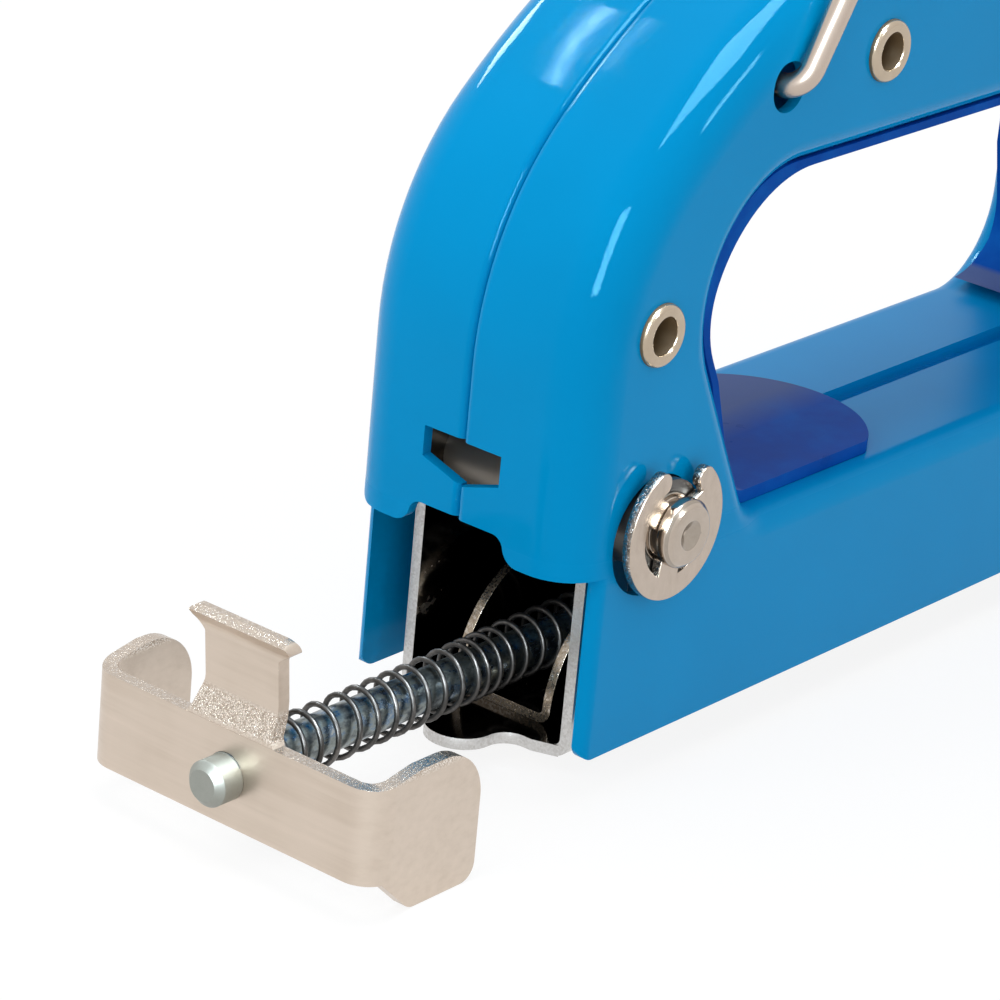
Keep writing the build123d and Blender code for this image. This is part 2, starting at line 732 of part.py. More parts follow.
# ================================================================ nose
blade_half = blade_w / 2
flange_in = channel_half + 0.1
flange_out = flange_in + plate_t
plate_back = -plate_t / 2
with BuildPart() as nose_plate:
    with Locations((0, 0, 0)):
        Box(plate_t, nose_w, nose_shoulder + 1, align=(Align.CENTER, Align.CENTER, Align.MIN))
    # folded front with side flanges
    with BuildSketch(Plane.XY.offset(nose_shoulder)):
        with Locations((plate_t / 2, 0)):
            Rectangle(
                nose_flange_l + plate_t, 2 * flange_out, align=(Align.MAX, Align.CENTER)
            )
        fillet(vertices().group_by(Axis.X)[-1], nose_bend_r)
        with Locations((plate_back, 0)):
            Rectangle(
                nose_flange_l + 1, 2 * flange_in,
                align=(Align.MAX, Align.CENTER), mode=Mode.SUBTRACT,
            )
        fillet(vertices().filter_by(lambda v: abs(v.X - plate_back) < 0.01), nose_bend_r - plate_t)
    extrude(amount=spring_cap_z - nose_shoulder)
    with BuildSketch(Plane.XZ):
        with BuildLine():
            Polyline(
                (plate_t, nose_plate_h),
                (plate_back, nose_plate_h),
                (plate_back - 2.0, spring_cap_z),
                (plate_back - 2.0, spring_cap_z + 1),
                (plate_t, spring_cap_z + 1),
                close=True,
            )
        make_face()
    extrude(amount=2 * half_w, both=True, mode=Mode.SUBTRACT)
    # ears for the column rivets
    low_z = rivets_at[2][1]
    high_z = rivets_at[3][1]
    for side_y in (flange_out, -flange_in):
        with BuildSketch(side_plane(side_y)):
            with Locations((-column_rivet_x / 2 - 3, (low_z + high_z) / 2)):
                Rectangle(column_rivet_x - 6, high_z - low_z + 2 * nose_ear_r)
            for z in (low_z, high_z):
                with Locations((-column_rivet_x, z)):
                    Circle(nose_ear_r)
            with Locations((-column_rivet_x - nose_ear_r / 2, (low_z + high_z) / 2)):
                Rectangle(nose_ear_r, high_z - low_z)
        extrude(amount=plate_t)
    for x, z in rivets_at[2:]:
        round_hole(x, z, rivet_r + run_gap)
save(nose_plate.part, "nose_plate")

guide_in = blade_half + 0.15
guide_out = channel_half - channel_t - 0.2
shelf_z = hammer_low - fit_gap - bumper_h - plate_t
with BuildPart() as blade_guides:
    for side_sign in (-1, 1):
        with Locations(
            (lip_x, side_sign * (guide_in + guide_out) / 2, channel_floor + 0.7)
        ):
            Box(
                -lip_x + plate_back - 0.05,
                guide_out - guide_in,
                guide_top - channel_floor,
                align=(Align.MIN, Align.CENTER, Align.MIN),
            )
    with Locations((lip_x, 0, shelf_z)):
        Box(shelf_l, 2 * guide_out, plate_t, align=(Align.MAX, Align.CENTER, Align.MIN))
    for side_sign in (-1, 1):
        with Locations((lip_x, side_sign * (guide_in + guide_out) / 2, shelf_z - 6)):
            Box(
                plate_t,
                guide_out - guide_in,
                6 + plate_t,
                align=(Align.MAX, Align.CENTER, Align.MIN),
            )
save(blade_guides.part, "blade_guides")

with BuildPart() as bumper:
    with Locations((lip_x - 0.6, 0, shelf_z + plate_t)):
        Box(shelf_l - 1.2, hammer_w, bumper_h, align=(Align.MAX, Align.CENTER, Align.MIN))
    fillet(bumper.edges().filter_by(Axis.Z), 1)
save(bumper.part, "bumper")

# ================================================================ striker
hammer_front = lip_x
hammer_rear = hammer_front - hammer_l
with BuildPart() as hammer:
    with Locations((hammer_front, 0, hammer_low)):
        Box(hammer_l, hammer_w, hammer_h, align=(Align.MAX, Align.CENTER, Align.MIN))
    fillet(hammer.edges().filter_by(Axis.Z).group_by(Axis.X)[0], 1.5)
    with BuildSketch(Plane.XZ):
        with BuildLine():
            Polyline(
                (hammer_rear - 1, tip_rest_z + slot_half_h + 1.0),
                (hammer_rear + 2.5, tip_rest_z + slot_half_h),
                (tip_rest_x + tip_r + slot_front_gap, tip_rest_z + slot_half_h),
                (tip_rest_x + tip_r + slot_front_gap, tip_rest_z - slot_half_h),
                (hammer_rear + 2.5, tip_rest_z - slot_half_h),
                (hammer_rear - 1, tip_rest_z - slot_half_h - 1.0),
                close=True,
            )
        make_face()
    extrude(amount=arm_t / 2 + fit_gap, both=True, mode=Mode.SUBTRACT)
    with BuildSketch(Plane.YZ.offset(hammer_rear + 5)):
        with Locations(*[(y, hammer_low + 4) for y in (-3, 3)]):
            Circle(hammer_rivet_r + 0.02)
    extrude(amount=hammer_l, mode=Mode.SUBTRACT)
save(hammer.part, "hammer")

with BuildPart() as striker_blade:
    with Locations((blade_x, 0, blade_tip)):
        Box(
            blade_t,
            blade_w,
            hammer_low + 8 - blade_tip,
            align=(Align.MIN, Align.CENTER, Align.MIN),
        )
    with BuildSketch(Plane.YZ.offset(blade_x - 1)):
        with Locations(*[(y, hammer_low + 4) for y in (-3, 3)]):
            Circle(hammer_rivet_r + 0.02)
    extrude(amount=4, mode=Mode.SUBTRACT)
save(striker_blade.part, "striker_blade")

with BuildPart() as hammer_rivets:
    for y in (-3, 3):
        with BuildSketch(Plane.YZ.offset(hammer_rear + 5.2)):
            with Locations((y, hammer_low + 4)):
                Circle(hammer_rivet_r)
        extrude(amount=blade_x + blade_t - hammer_rear - 5.2)
save(hammer_rivets.part, "hammer_rivets")

spring_x = (hammer_front + hammer_rear) / 2
main_spring_low = hammer_low + hammer_h + main_spring_wire_r
main_spring_l = spring_cap_z - main_spring_wire_r - main_spring_low
with BuildPart() as main_spring:
    add(
        helix_spring(
            (spring_x, 0, main_spring_low),
            (0, 0, 1),
            main_spring_l,
            main_spring_r,
            main_spring_wire_r,
            main_spring_l / main_spring_coils,
        )
    )
save(main_spring.part, "main_spring")

with BuildPart() as spring_guide:
    with Locations((spring_x, 0, spring_cap_z)):
        Cylinder(guide_post_r, guide_post_l, align=(Align.CENTER, Align.CENTER, Align.MAX))
    chamfer(spring_guide.edges().group_by(Axis.Z)[0], 0.6)
save(spring_guide.part, "spring_guide")

with BuildPart() as spring_cap:
    with Locations((plate_back - 1, 0, spring_cap_z)):
        Box(
            hammer_l + 1,
            2 * flange_out,
            spring_cap_t,
            align=(Align.MAX, Align.CENTER, Align.MIN),
        )
    fillet(spring_cap.edges().filter_by(Axis.Z), 1)
save(spring_cap.part, "spring_cap")

# ================================================================ lever
lever_plane = Plane(
    origin=(-lever_pivot_x, 0, lever_pivot_z),
    x_dir=(cos(radians(lever_sweep)), 0, -sin(radians(lever_sweep))),
    z_dir=(0, -1, 0),
)
# side outline as pressed, measured from the pivot
lever_back = -49.3
lever_low = [(lever_back, 14.6), (-28.0, 17.6), (-14.0, 8.0), (-8.0, -3.0)]
lever_front = [(6.5, 0.0), (4.0, 20.0), (-5.0, 27.0)]
lever_top_rear = (lever_back, 20.4)
with BuildPart() as lever:
    with BuildSketch(lever_plane):
        with BuildLine():
            Polyline(*lever_low, *lever_front, lever_top_rear, close=True)
        make_face()
        fillet(vertices().sort_by_distance((*lever_top_rear, 0))[0], 2.5)
        fillet(vertices().sort_by_distance((*lever_front[2], 0))[0], 4.0)
        fillet(vertices().sort_by_distance((*lever_low[1], 0))[0], 5.0)
        Circle(lever_boss_r)
    extrude(amount=lever_w / 2, both=True)
    with BuildSketch(lever_plane):
        with BuildLine():
            Polyline(
                (lever_back + lever_t, 0.0),
                (lever_back + lever_t, lever_top_rear[1] - lever_t + 0.1),
                (lever_front[2][0] - 0.4, lever_front[2][1] - lever_t),
                (lever_front[1][0] - 1.6, lever_front[1][1] - 0.2),
                (lever_front[1][0] + 12, lever_front[1][1] - 1.5),
                (lever_front[1][0] + 12, -15.0),
                (lever_back + lever_t, -15.0),
                close=True,
            )
        make_face()
    extrude(amount=lever_w / 2 - lever_t, both=True, mode=Mode.SUBTRACT)
    round_hole(*pivot_at, lever_pin_r + run_gap)
    with BuildSketch(lever_plane):
        with Locations((0, arm_rivet_up)):
            Circle(arm_rivet_r + 0.02)
    extrude(amount=half_w, both=True, mode=Mode.SUBTRACT)
save(lever.part, "lever")

arm_half = lever_w / 2 - lever_t - 0.1
with BuildPart() as lifting_arm:
    with BuildSketch(lever_plane):
        Circle(arm_hub_r)
        with Locations((0, arm_rivet_up / 2)):
            Rectangle(2 * 3.2, arm_rivet_up)
        with Locations((0, arm_rivet_up)):
            Circle(3.2)
    extrude(amount=arm_half, both=True)
    arm_plane = Plane(
        origin=(-lever_pivot_x, 0, lever_pivot_z),
        x_dir=(cos(radians(half_sweep)), 0, -sin(radians(half_sweep))),
        z_dir=(0, -1, 0),
    )
    with BuildSketch(arm_plane):
        with BuildLine():
            Polyline(
                (0, -arm_root_half),
                (arm_step[0], -arm_step[1]),
                (lever_arm - arm_neck_back, -arm_neck_half),
                (lever_arm, -arm_neck_half),
                (lever_arm, arm_neck_half),
                (lever_arm - arm_neck_back, arm_neck_half),
                arm_step,
                (0, arm_root_half),
                close=True,
            )
        make_face()
        with Locations((lever_arm, 0)):
            Circle(tip_r)
    extrude(amount=arm_t / 2, both=True)
    round_hole(*pivot_at, lever_pin_r + run_gap)
    with BuildSketch(lever_plane):
        with Locations((0, arm_rivet_up)):
            Circle(arm_rivet_r + 0.02)
    extrude(amount=half_w, both=True, mode=Mode.SUBTRACT)
save(lifting_arm.part, "lifting_arm")

with BuildPart() as arm_rivets:
    with BuildSketch(lever_plane):
        with Locations((0, arm_rivet_up)):
            Circle(arm_rivet_r)
    extrude(amount=lever_w / 2 + 0.2, both=True)
save(arm_rivets.part, "arm_rivets")

lever_groove_y = half_w + lever_clip_gap + lever_clip_t / 2
with BuildPart() as lever_pin:
    with BuildSketch(Plane.XZ):
        with Locations(pivot_at):
            Circle(lever_pin_r)
    extrude(amount=half_w + lever_pin_proud, both=True)
    chamfer(lever_pin.edges().filter_by(GeomType.CIRCLE), 0.4)
    for side_sign in (-1, 1):
        with Locations(
            Location((pivot_at[0], side_sign * lever_groove_y, pivot_at[1]), (90, 0, 0))
        ):
            Cylinder(lever_pin_r + 1, lever_clip_t + 0.1, mode=Mode.SUBTRACT)
            Cylinder(lever_pin_r - 0.45, lever_clip_t + 0.1)
save(lever_pin.part, "lever_pin")

with BuildPart() as lever_pin_clips:
    for side_sign in (-1, 1):
        face_y = side_sign * (half_w + lever_clip_gap)
        clip = e_clip(face_y, lever_clip_r, lever_pin_r - 0.42, *pivot_at)
        extrude(clip, amount=-side_sign * lever_clip_t)
save(lever_pin_clips.part, "lever_pin_clips")

with BuildPart() as lever_bushes:
    for side_sign in (-1, 1):
        with Locations(
            Location((pivot_at[0], side_sign * (lever_w / 2 + inner_half) / 2, pivot_at[1]), (90, 0, 0))
        ):
            Cylinder(lever_pin_r + 1.6, inner_half - lever_w / 2 - 0.3)
            Cylinder(lever_pin_r + run_gap, half_w, mode=Mode.SUBTRACT)
save(lever_bushes.part, "lever_bushes")

# ================================================================ latch pin and rivets
bush_in = channel_half + 0.05
bush_out = half_w + bush_proud
pin_end = bush_out + clip_gap + clip_t + pin_proud
with BuildPart() as latch_pin:
    with BuildSketch(Plane.XZ):
        with Locations(pin_at):
            Circle(pin_r)
    extrude(amount=pin_end, both=True)
    chamfer(latch_pin.edges().filter_by(GeomType.CIRCLE), pin_chamfer)
    for side_sign in (-1, 1):
        groove_y = side_sign * (bush_out + clip_gap + clip_t / 2)
        with Locations(Location((pin_at[0], groove_y, pin_at[1]), (90, 0, 0))):
            Cylinder(pin_r + 1, clip_t + 0.1, mode=Mode.SUBTRACT)
            Cylinder(pin_r - 0.5, clip_t + 0.1)
        with Locations(
            Location((pin_at[0], side_sign * pin_end, pin_at[1]), (side_sign * 90, 0, 0))
        ):
            Cone(
                0.05,
                dimple_r,
                dimple_depth,
                align=(Align.CENTER, Align.CENTER, Align.MAX),
                mode=Mode.SUBTRACT,
            )
save(latch_pin.part, "latch_pin")

with BuildPart() as latch_pin_clips:
    for side_sign in (-1, 1):
        face_y = side_sign * (bush_out + clip_gap)
        turn = clip_turn if side_sign < 0 else clip_turn_left
        clip = e_clip(face_y, clip_r, pin_r - 0.47, *pin_at, turn)
        extrude(clip, amount=-side_sign * clip_t)
save(latch_pin_clips.part, "latch_pin_clips")

with BuildPart() as pin_bushes:
    for side_sign in (-1, 1):
        mid_y = side_sign * (bush_in + bush_out) / 2
        with Locations(Location((pin_at[0], mid_y, pin_at[1]), (90, 0, 0))):
            Cylinder(bush_r, bush_out - bush_in)
            Cylinder(pin_r + run_gap, half_w, mode=Mode.SUBTRACT)
save(pin_bushes.part, "pin_bushes")

with BuildPart() as body_rivets:
    for x, z in rivets_at:
        with Locations(Location((x, 0, z), (90, 0, 0))):
            Cylinder(rivet_r, 2 * half_w + 0.2)
        for side_sign in (-1, 1):
            with Locations(
                Location((x, side_sign * (half_w + rivet_rim_h / 2 + 0.02), z), (90, 0, 0))
            ):
                Cylinder(rivet_rim_r, rivet_rim_h)
    rim_y = half_w + rivet_rim_h + 0.02
    rims = body_rivets.edges().filter_by(
        lambda e: e.geom_type == GeomType.CIRCLE and abs(abs(e.center().Y) - rim_y) < 1e-4
    )
    fillet(rims, rivet_rim_h * 0.8)
    for x, z in rivets_at:
        with Locations(Location((x, 0, z), (90, 0, 0))):
            Cylinder(rivet_bore_r, 3 * half_w, mode=Mode.SUBTRACT)
    mouths = body_rivets.edges().filter_by(
        lambda e: e.geom_type == GeomType.CIRCLE and abs(e.center().Y) > half_w + rivet_rim_h - 0.05
    ).filter_by(lambda e: e.radius < rivet_bore_r + 0.01)
    fillet(mouths, 0.3)
save(body_rivets.part, "body_rivets")

with BuildPart() as rivet_sleeves:
    for index, (x, z) in enumerate(rivets_at):
        half = inner_half - 0.05 if index < 2 else flange_in - 0.05
        with Locations(Location((x, 0, z), (90, 0, 0))):
            Cylinder(sleeve_r, 2 * half)
            Cylinder(rivet_r + run_gap, 3 * half, mode=Mode.SUBTRACT)
save(rivet_sleeves.part, "rivet_sleeves")

# ================================================================ wire bail
leg_y = half_w + bail_stand_off
bail_dir = (cos(radians(bail_angle)), 0, sin(radians(bail_angle)))
bail_plane = Plane(
    origin=(bail_at[0], 0, bail_at[1]),
    x_dir=(0, 1, 0),
    z_dir=Vector(0, 1, 0).cross(Vector(*bail_dir)),
)
tail_y = inner_half - bail_tail
with BuildPart() as wire_bail:
    with BuildLine(bail_plane) as wire:
        FilletPolyline(
            (-tail_y, 0),
            (-leg_y, 0),
            (-leg_y, bail_reach),
            (leg_y, bail_reach),
            (leg_y, 0),
            (tail_y, 0),
            radius=bail_bend_r,
        )
    with BuildSketch(Plane(origin=wire.line @ 0, z_dir=wire.line % 0)):
        Circle(wire_r)
    sweep()
save(wire_bail.part, "wire_bail")

# ================================================================ latch bracket
plate_z0 = channel_floor + plate_over_tongue
plate_z1 = channel_bottom + plate_high
ear_z1 = channel_bottom + ear_high
# hook tab: a bent strip standing on the plate
tab_z0 = plate_z1 - 2
knee = (plate_rear + tab_knee[0], plate_z1 + tab_knee[1])
throat = (plate_rear + tab_throat[0], plate_z1 + tab_throat[1])
lip = (plate_rear + tab_lip[0], plate_z1 + tab_lip[1])
lip_top = lip[1] + 0.4 * bracket_t
with BuildPart() as hook_tab:
    with BuildSketch(Plane.XZ):
        with BuildLine():
            FilletPolyline(
                (plate_rear, tab_z0), (plate_rear, plate_z1), knee, throat, lip, radius=1.9
            )
            offset(side=Side.RIGHT, amount=bracket_t)
        make_face()
    extrude(amount=tab_lip_w + 4, both=True)
    with BuildSketch(Plane.YZ.offset(plate_rear - 3)):
        with BuildLine():
            Polyline(
                (0, tab_z0),
                (-tab_base_w / 2 - 1.6, plate_z1 - 1.6),
                (-tab_base_w / 2, plate_z1 + 0.5),
                (-tab_neck_w / 2, knee[1]),
                (-tab_neck_w / 2, throat[1] - 0.6),
                (tab_lip_shift - tab_lip_w / 2, throat[1] + 0.5),
                (tab_lip_shift - tab_lip_w / 2, lip_top),
                (tab_lip_shift + tab_lip_w / 2, lip_top),
                (tab_lip_shift + tab_lip_w / 2, throat[1] + 0.5),
                (tab_neck_w / 2, throat[1] - 0.6),
                (tab_neck_w / 2, knee[1]),
                (tab_base_w / 2, plate_z1 + 0.5),
                (tab_base_w / 2 + 1.6, plate_z1 - 1.6),
                close=True,
            )
        make_face()
        shoulders = vertices().filter_by(lambda v: abs(v.Y - throat[1]) < 0.7)
        fillet(shoulders, 0.3)
        fillet(vertices().group_by(Axis.Y)[-1], tab_lip_r)
    extrude(amount=8, mode=Mode.INTERSECT)


def bracket_side(side_sign, reach, foot_z):
    """Half of the latch bracket: half of its plate and one ear, which ends at foot_z."""
    tip_x = plate_rear + reach
    lobe = [(tip_x - ear_lobe_l, foot_z)] if foot_z < plate_z0 else []
    with BuildPart() as half:
        with BuildSketch(Plane.XY):
            with Locations((plate_rear, 0)):
                Rectangle(reach, bracket_w, align=(Align.MIN, Align.CENTER))
            fillet(vertices().group_by(Axis.X)[0], bracket_bend_r)
            with Locations((plate_front, 0)):
                Rectangle(
                    reach, bracket_w - 2 * bracket_t,
                    align=(Align.MIN, Align.CENTER), mode=Mode.SUBTRACT,
                )
            fillet(
                vertices().filter_by(lambda v: abs(v.X - plate_front) < 0.01),
                bracket_bend_r - bracket_t,
            )
            other_side = Align.MAX if side_sign > 0 else Align.MIN
            with Locations((plate_rear, 0)):
                Rectangle(reach, bracket_w, align=(Align.MIN, other_side), mode=Mode.SUBTRACT)
        extrude(amount=ear_z1)
        with BuildSketch(Plane.XZ):
            with BuildLine():
                Polyline(
                    (plate_rear - 1, plate_z1),
                    (plate_front, plate_z1),
                    (plate_front + ear_sweep, ear_z1),
                    (tip_x, ear_z1),
                    (tip_x, foot_z),
                    *lobe,
                    (plate_front + 0.5, plate_z0),
                    (plate_rear - 1, plate_z0),
                    close=True,
                )
            make_face()
            fillet(vertices().sort_by_distance((tip_x, ear_z1, 0))[0], ear_corner_r)
            fillet(vertices().sort_by_distance((tip_x, foot_z, 0))[0], 1.5)
            for x, z in lobe:
                fillet(vertices().sort_by_distance((x, z, 0))[0], 1.6)
            fillet(vertices().sort_by_distance((plate_front, plate_z1, 0))[0], 4.0)
        extrude(amount=bracket_w, both=True, mode=Mode.INTERSECT)
    return half.part


with BuildPart() as latch_bracket:
    add(bracket_side(1, ear_front_left, plate_z0))
    add(bracket_side(-1, ear_front, 0))
    add(hook_tab.part)
    # hole for the riveted end of the guide rod
    with BuildSketch(Plane.YZ.offset(plate_rear - 1)):
        with Locations((0, rod_z)):
            Circle(rod_r + 0.02)
    extrude(amount=4, mode=Mode.SUBTRACT)
save(latch_bracket.part, "latch_bracket")

with BuildPart() as guide_rod:
    with BuildSketch(Plane.YZ.offset(plate_rear)):
        with Locations((0, rod_z)):
            Circle(rod_r)
    extrude(amount=rod_reach)
    chamfer(guide_rod.edges().group_by(Axis.X)[-1], 0.5)
    with BuildSketch(Plane.YZ.offset(plate_rear - stub_l)):
        with Locations((0, rod_z - stub_drop)):
            Circle(stub_r)
    extrude(amount=stub_l - 0.02)
    chamfer(guide_rod.edges().group_by(Axis.X)[0], 0.6)
    with BuildSketch(Plane.YZ.offset(plate_rear - 0.1)):
        with Locations((0, rod_z)):
            Circle(rod_r)
    extrude(amount=0.3)
save(guide_rod.part, "guide_rod")

spring_start = plate_front + spring_wire_r + 0.05
spring_l = follower_rear - follower_gap - spring_wire_r - spring_start
with BuildPart() as pusher_spring:
    add(
        helix_spring(
            (spring_start, 0, rod_z), (1, 0, 0), spring_l, spring_r, spring_wire_r, spring_pitch
        )
    )
save(pusher_spring.part, "pusher_spring")
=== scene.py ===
"""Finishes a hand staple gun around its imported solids.

It softens the sheets' edges, adds paint, plating and springs, and builds a plain studio.
"""

import math

import bpy
from mathutils import Matrix, Vector


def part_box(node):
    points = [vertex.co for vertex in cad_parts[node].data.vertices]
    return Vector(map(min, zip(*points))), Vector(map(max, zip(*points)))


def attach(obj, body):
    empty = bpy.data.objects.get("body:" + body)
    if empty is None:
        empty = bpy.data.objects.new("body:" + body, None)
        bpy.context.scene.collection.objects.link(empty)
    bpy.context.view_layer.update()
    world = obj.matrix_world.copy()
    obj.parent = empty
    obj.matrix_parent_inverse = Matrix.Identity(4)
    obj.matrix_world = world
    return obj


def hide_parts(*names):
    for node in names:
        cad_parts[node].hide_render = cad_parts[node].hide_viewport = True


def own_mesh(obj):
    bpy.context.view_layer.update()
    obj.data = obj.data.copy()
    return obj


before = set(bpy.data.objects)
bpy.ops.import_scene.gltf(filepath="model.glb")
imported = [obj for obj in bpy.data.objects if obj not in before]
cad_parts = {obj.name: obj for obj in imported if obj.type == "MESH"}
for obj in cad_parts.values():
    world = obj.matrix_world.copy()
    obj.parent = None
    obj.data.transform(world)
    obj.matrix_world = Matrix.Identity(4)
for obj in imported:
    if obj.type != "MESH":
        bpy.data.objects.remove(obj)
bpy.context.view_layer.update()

bl_info = {
    "name": "Hand staple gun",
    "version": (1, 0, 0),
    "blender": (4, 5, 0),
    "location": "View3D > Sidebar > Staple gun",
    "description": "Dresses the packed staple gun with finished sheets, springs and a studio",
    "category": "Object",
}

MM = 0.001


# ------------------------------------------------------------------ settings
class StapleGunFinish(bpy.types.PropertyGroup):
    """Colours of the tool's finishes"""

    paint: bpy.props.FloatVectorProperty(
        name="Paint",
        description="Colour of the gloss paint on the two body shells",
        subtype="COLOR",
        size=3,
        min=0,
        max=1,
        default=(0.0, 0.31, 0.68),
    )
    liner: bpy.props.FloatVectorProperty(
        name="Liner",
        description="Colour of the plastic liner in the finger opening",
        subtype="COLOR",
        size=3,
        min=0,
        max=1,
        default=(0.003, 0.084, 0.43),
    )
    nickel: bpy.props.FloatVectorProperty(
        name="Nickel",
        description="Colour of the satin plating on the latch bracket",
        subtype="COLOR",
        size=3,
        min=0,
        max=1,
        default=(0.61, 0.515, 0.43),
    )
    edge_round: bpy.props.FloatProperty(
        name="Edge rounding",
        description="Rounding of the plated sheet's cut edges",
        subtype="DISTANCE",
        unit="LENGTH",
        default=0.2 * MM,
        min=0.05 * MM,
        max=0.35 * MM,
    )


class StapleGunStudio(bpy.types.PropertyGroup):
    """Size and light of the studio"""

    floor_size: bpy.props.FloatProperty(
        name="Floor size",
        description="Width of the pale floor",
        subtype="DISTANCE",
        unit="LENGTH",
        default=6.0,
        min=1.0,
    )
    sky: bpy.props.FloatProperty(
        name="Sky",
        description="Strength of the even light from all round",
        default=0.62,
        min=0,
    )


def finish():
    return bpy.context.scene.staple_gun_finish


# ------------------------------------------------------------------ node helpers
def add_node(tree, kind, **values):
    """Adds a shader node; values that name an input set it, the others are its settings."""
    node = tree.nodes.new(kind)
    for key, value in values.items():
        if hasattr(node, key):
            setattr(node, key, value)
        else:
            node.inputs[key.replace("_", " ")].default_value = value
    return node


def join(tree, start, end):
    tree.links.new(start, end)


def new_material(name, colour, metallic=0.0, roughness=0.5):
    mat = bpy.data.materials.new(name)
    mat.use_nodes = True
    shader = mat.node_tree.nodes["Principled BSDF"]
    shader.inputs["Base Color"].default_value = (*colour, 1)
    shader.inputs["Metallic"].default_value = metallic
    shader.inputs["Roughness"].default_value = roughness
    return mat.node_tree, shader


def new_group(name, inputs, output):
    """An empty group that gives one value, with its input and output nodes."""
    tree = bpy.data.node_groups.new(name, "ShaderNodeTree")
    for label, kind, default in inputs:
        socket = tree.interface.new_socket(name=label, in_out="INPUT", socket_type=kind)
        socket.default_value = default
    tree.interface.new_socket(name=output, in_out="OUTPUT", socket_type="NodeSocketFloat")
    return tree, tree.nodes.new("NodeGroupInput"), tree.nodes.new("NodeGroupOutput")


def put_group(tree, group, **values):
    """Adds a shared effect and returns its value."""
    node = tree.nodes.new("ShaderNodeGroup")
    node.node_tree = bpy.data.node_groups[group]
    for key, value in values.items():
        node.inputs[key].default_value = value
    return node.outputs[0]


def object_place(tree):
    return tree.nodes.new("ShaderNodeTexCoord").outputs["Object"]


def object_axis(tree, axis):
    axes = tree.nodes.new("ShaderNodeSeparateXYZ")
    join(tree, object_place(tree), axes.inputs[0])
    return axes.outputs[axis]


def calculate(tree, operation, first, second, **settings):
    """The result of a math operation on two sockets."""
    node = add_node(tree, "ShaderNodeMath", operation=operation, **settings)
    join(tree, first, node.inputs[0])
    join(tree, second, node.inputs[1])
    return node.outputs[0]


# a mix node's two inputs and its result, by the kind of its data
MIX_SOCKETS = {"FLOAT": (2, 3, 0), "RGBA": (6, 7, 2)}


def mix(tree, kind, share, first, second):
    """Mixes first with a share of second; each of the three is a socket or a plain value."""
    node = add_node(tree, "ShaderNodeMix", data_type=kind)
    first_input, second_input, result = MIX_SOCKETS[kind]
    for index, value in ((0, share), (first_input, first), (second_input, second)):
        if isinstance(value, bpy.types.NodeSocket):
            join(tree, value, node.inputs[index])
        else:
            node.inputs[index].default_value = value
    return node.outputs[result]


def ramp(tree, fac, low, high, colours):
    """A colour ramp from the first colour at low to the last at high."""
    node = tree.nodes.new("ShaderNodeValToRGB")
    node.color_ramp.elements[0].position = low
    node.color_ramp.elements[0].color = (*colours[0], 1)
    node.color_ramp.elements[1].position = high
    node.color_ramp.elements[1].color = (*colours[-1], 1)
    for i, colour in enumerate(colours[1:-1], 1):
        step = node.color_ramp.elements.new(low + (high - low) * i / (len(colours) - 1))
        step.color = (*colour, 1)
    join(tree, fac, node.inputs["Fac"])
    return node.outputs["Color"]


def spread(tree, fac, low, high, to_low, to_high):
    """Maps low..high of a value to to_low..to_high."""
    node = add_node(
        tree, "ShaderNodeMapRange", From_Min=low, From_Max=high, To_Min=to_low, To_Max=to_high
    )
    join(tree, fac, node.inputs["Value"])
    return node.outputs["Result"]


def colour_by(tree, shader, fac, low, high, colours):
    join(tree, ramp(tree, fac, low, high, colours), shader.inputs["Base Color"])


def roughen_by(tree, shader, fac, low, high, to_low, to_high):
    join(tree, spread(tree, fac, low, high, to_low, to_high), shader.inputs["Roughness"])


def height_to_normal(tree, shader, height, distance, strength):
    bump = add_node(tree, "ShaderNodeBump", Strength=strength, Distance=distance)
    join(tree, height, bump.inputs["Height"])
    join(tree, bump.outputs["Normal"], shader.inputs["Normal"])


# ------------------------------------------------------------------ shared effects
def build_rolled_grain():
    """Drawn or rolled grain: long fine streaks along the axis that has the smallest scale."""
    tree, into, out = new_group(
        "rolled_grain",
        (("Scale", "NodeSocketVector", (60, 60, 2500)), ("Detail", "NodeSocketFloat", 4.0)),
        "Value",
    )
    stretch = add_node(tree, "ShaderNodeMapping")
    noise = add_node(tree, "ShaderNodeTexNoise", Scale=1.0, Roughness=0.6)
    join(tree, object_place(tree), stretch.inputs["Vector"])
    join(tree, into.outputs["Scale"], stretch.inputs["Scale"])
    join(tree, stretch.outputs["Vector"], noise.inputs["Vector"])
    join(tree, into.outputs["Detail"], noise.inputs["Detail"])
    join(tree, noise.outputs["Fac"], out.inputs["Value"])


def build_sheared_speckle():
    """Bright and dark grains of a sheared or blasted edge."""
    tree, into, out = new_group(
        "sheared_speckle",
        (("Scale", "NodeSocketFloat", 6000.0), ("Share", "NodeSocketFloat", 0.5)),
        "Value",
    )
    place = object_place(tree)
    cells = add_node(tree, "ShaderNodeTexVoronoi", feature="F1")
    noise = add_node(tree, "ShaderNodeTexNoise", Detail=2.0)
    for texture in (cells, noise):
        join(tree, place, texture.inputs["Vector"])
        join(tree, into.outputs["Scale"], texture.inputs["Scale"])
    split = add_node(tree, "ShaderNodeSeparateColor")
    join(tree, cells.outputs["Color"], split.inputs["Color"])
    total = calculate(tree, "ADD", split.outputs["Red"], noise.outputs["Fac"])
    level = calculate(tree, "MULTIPLY", total, into.outputs["Share"])
    join(tree, level, out.inputs["Value"])


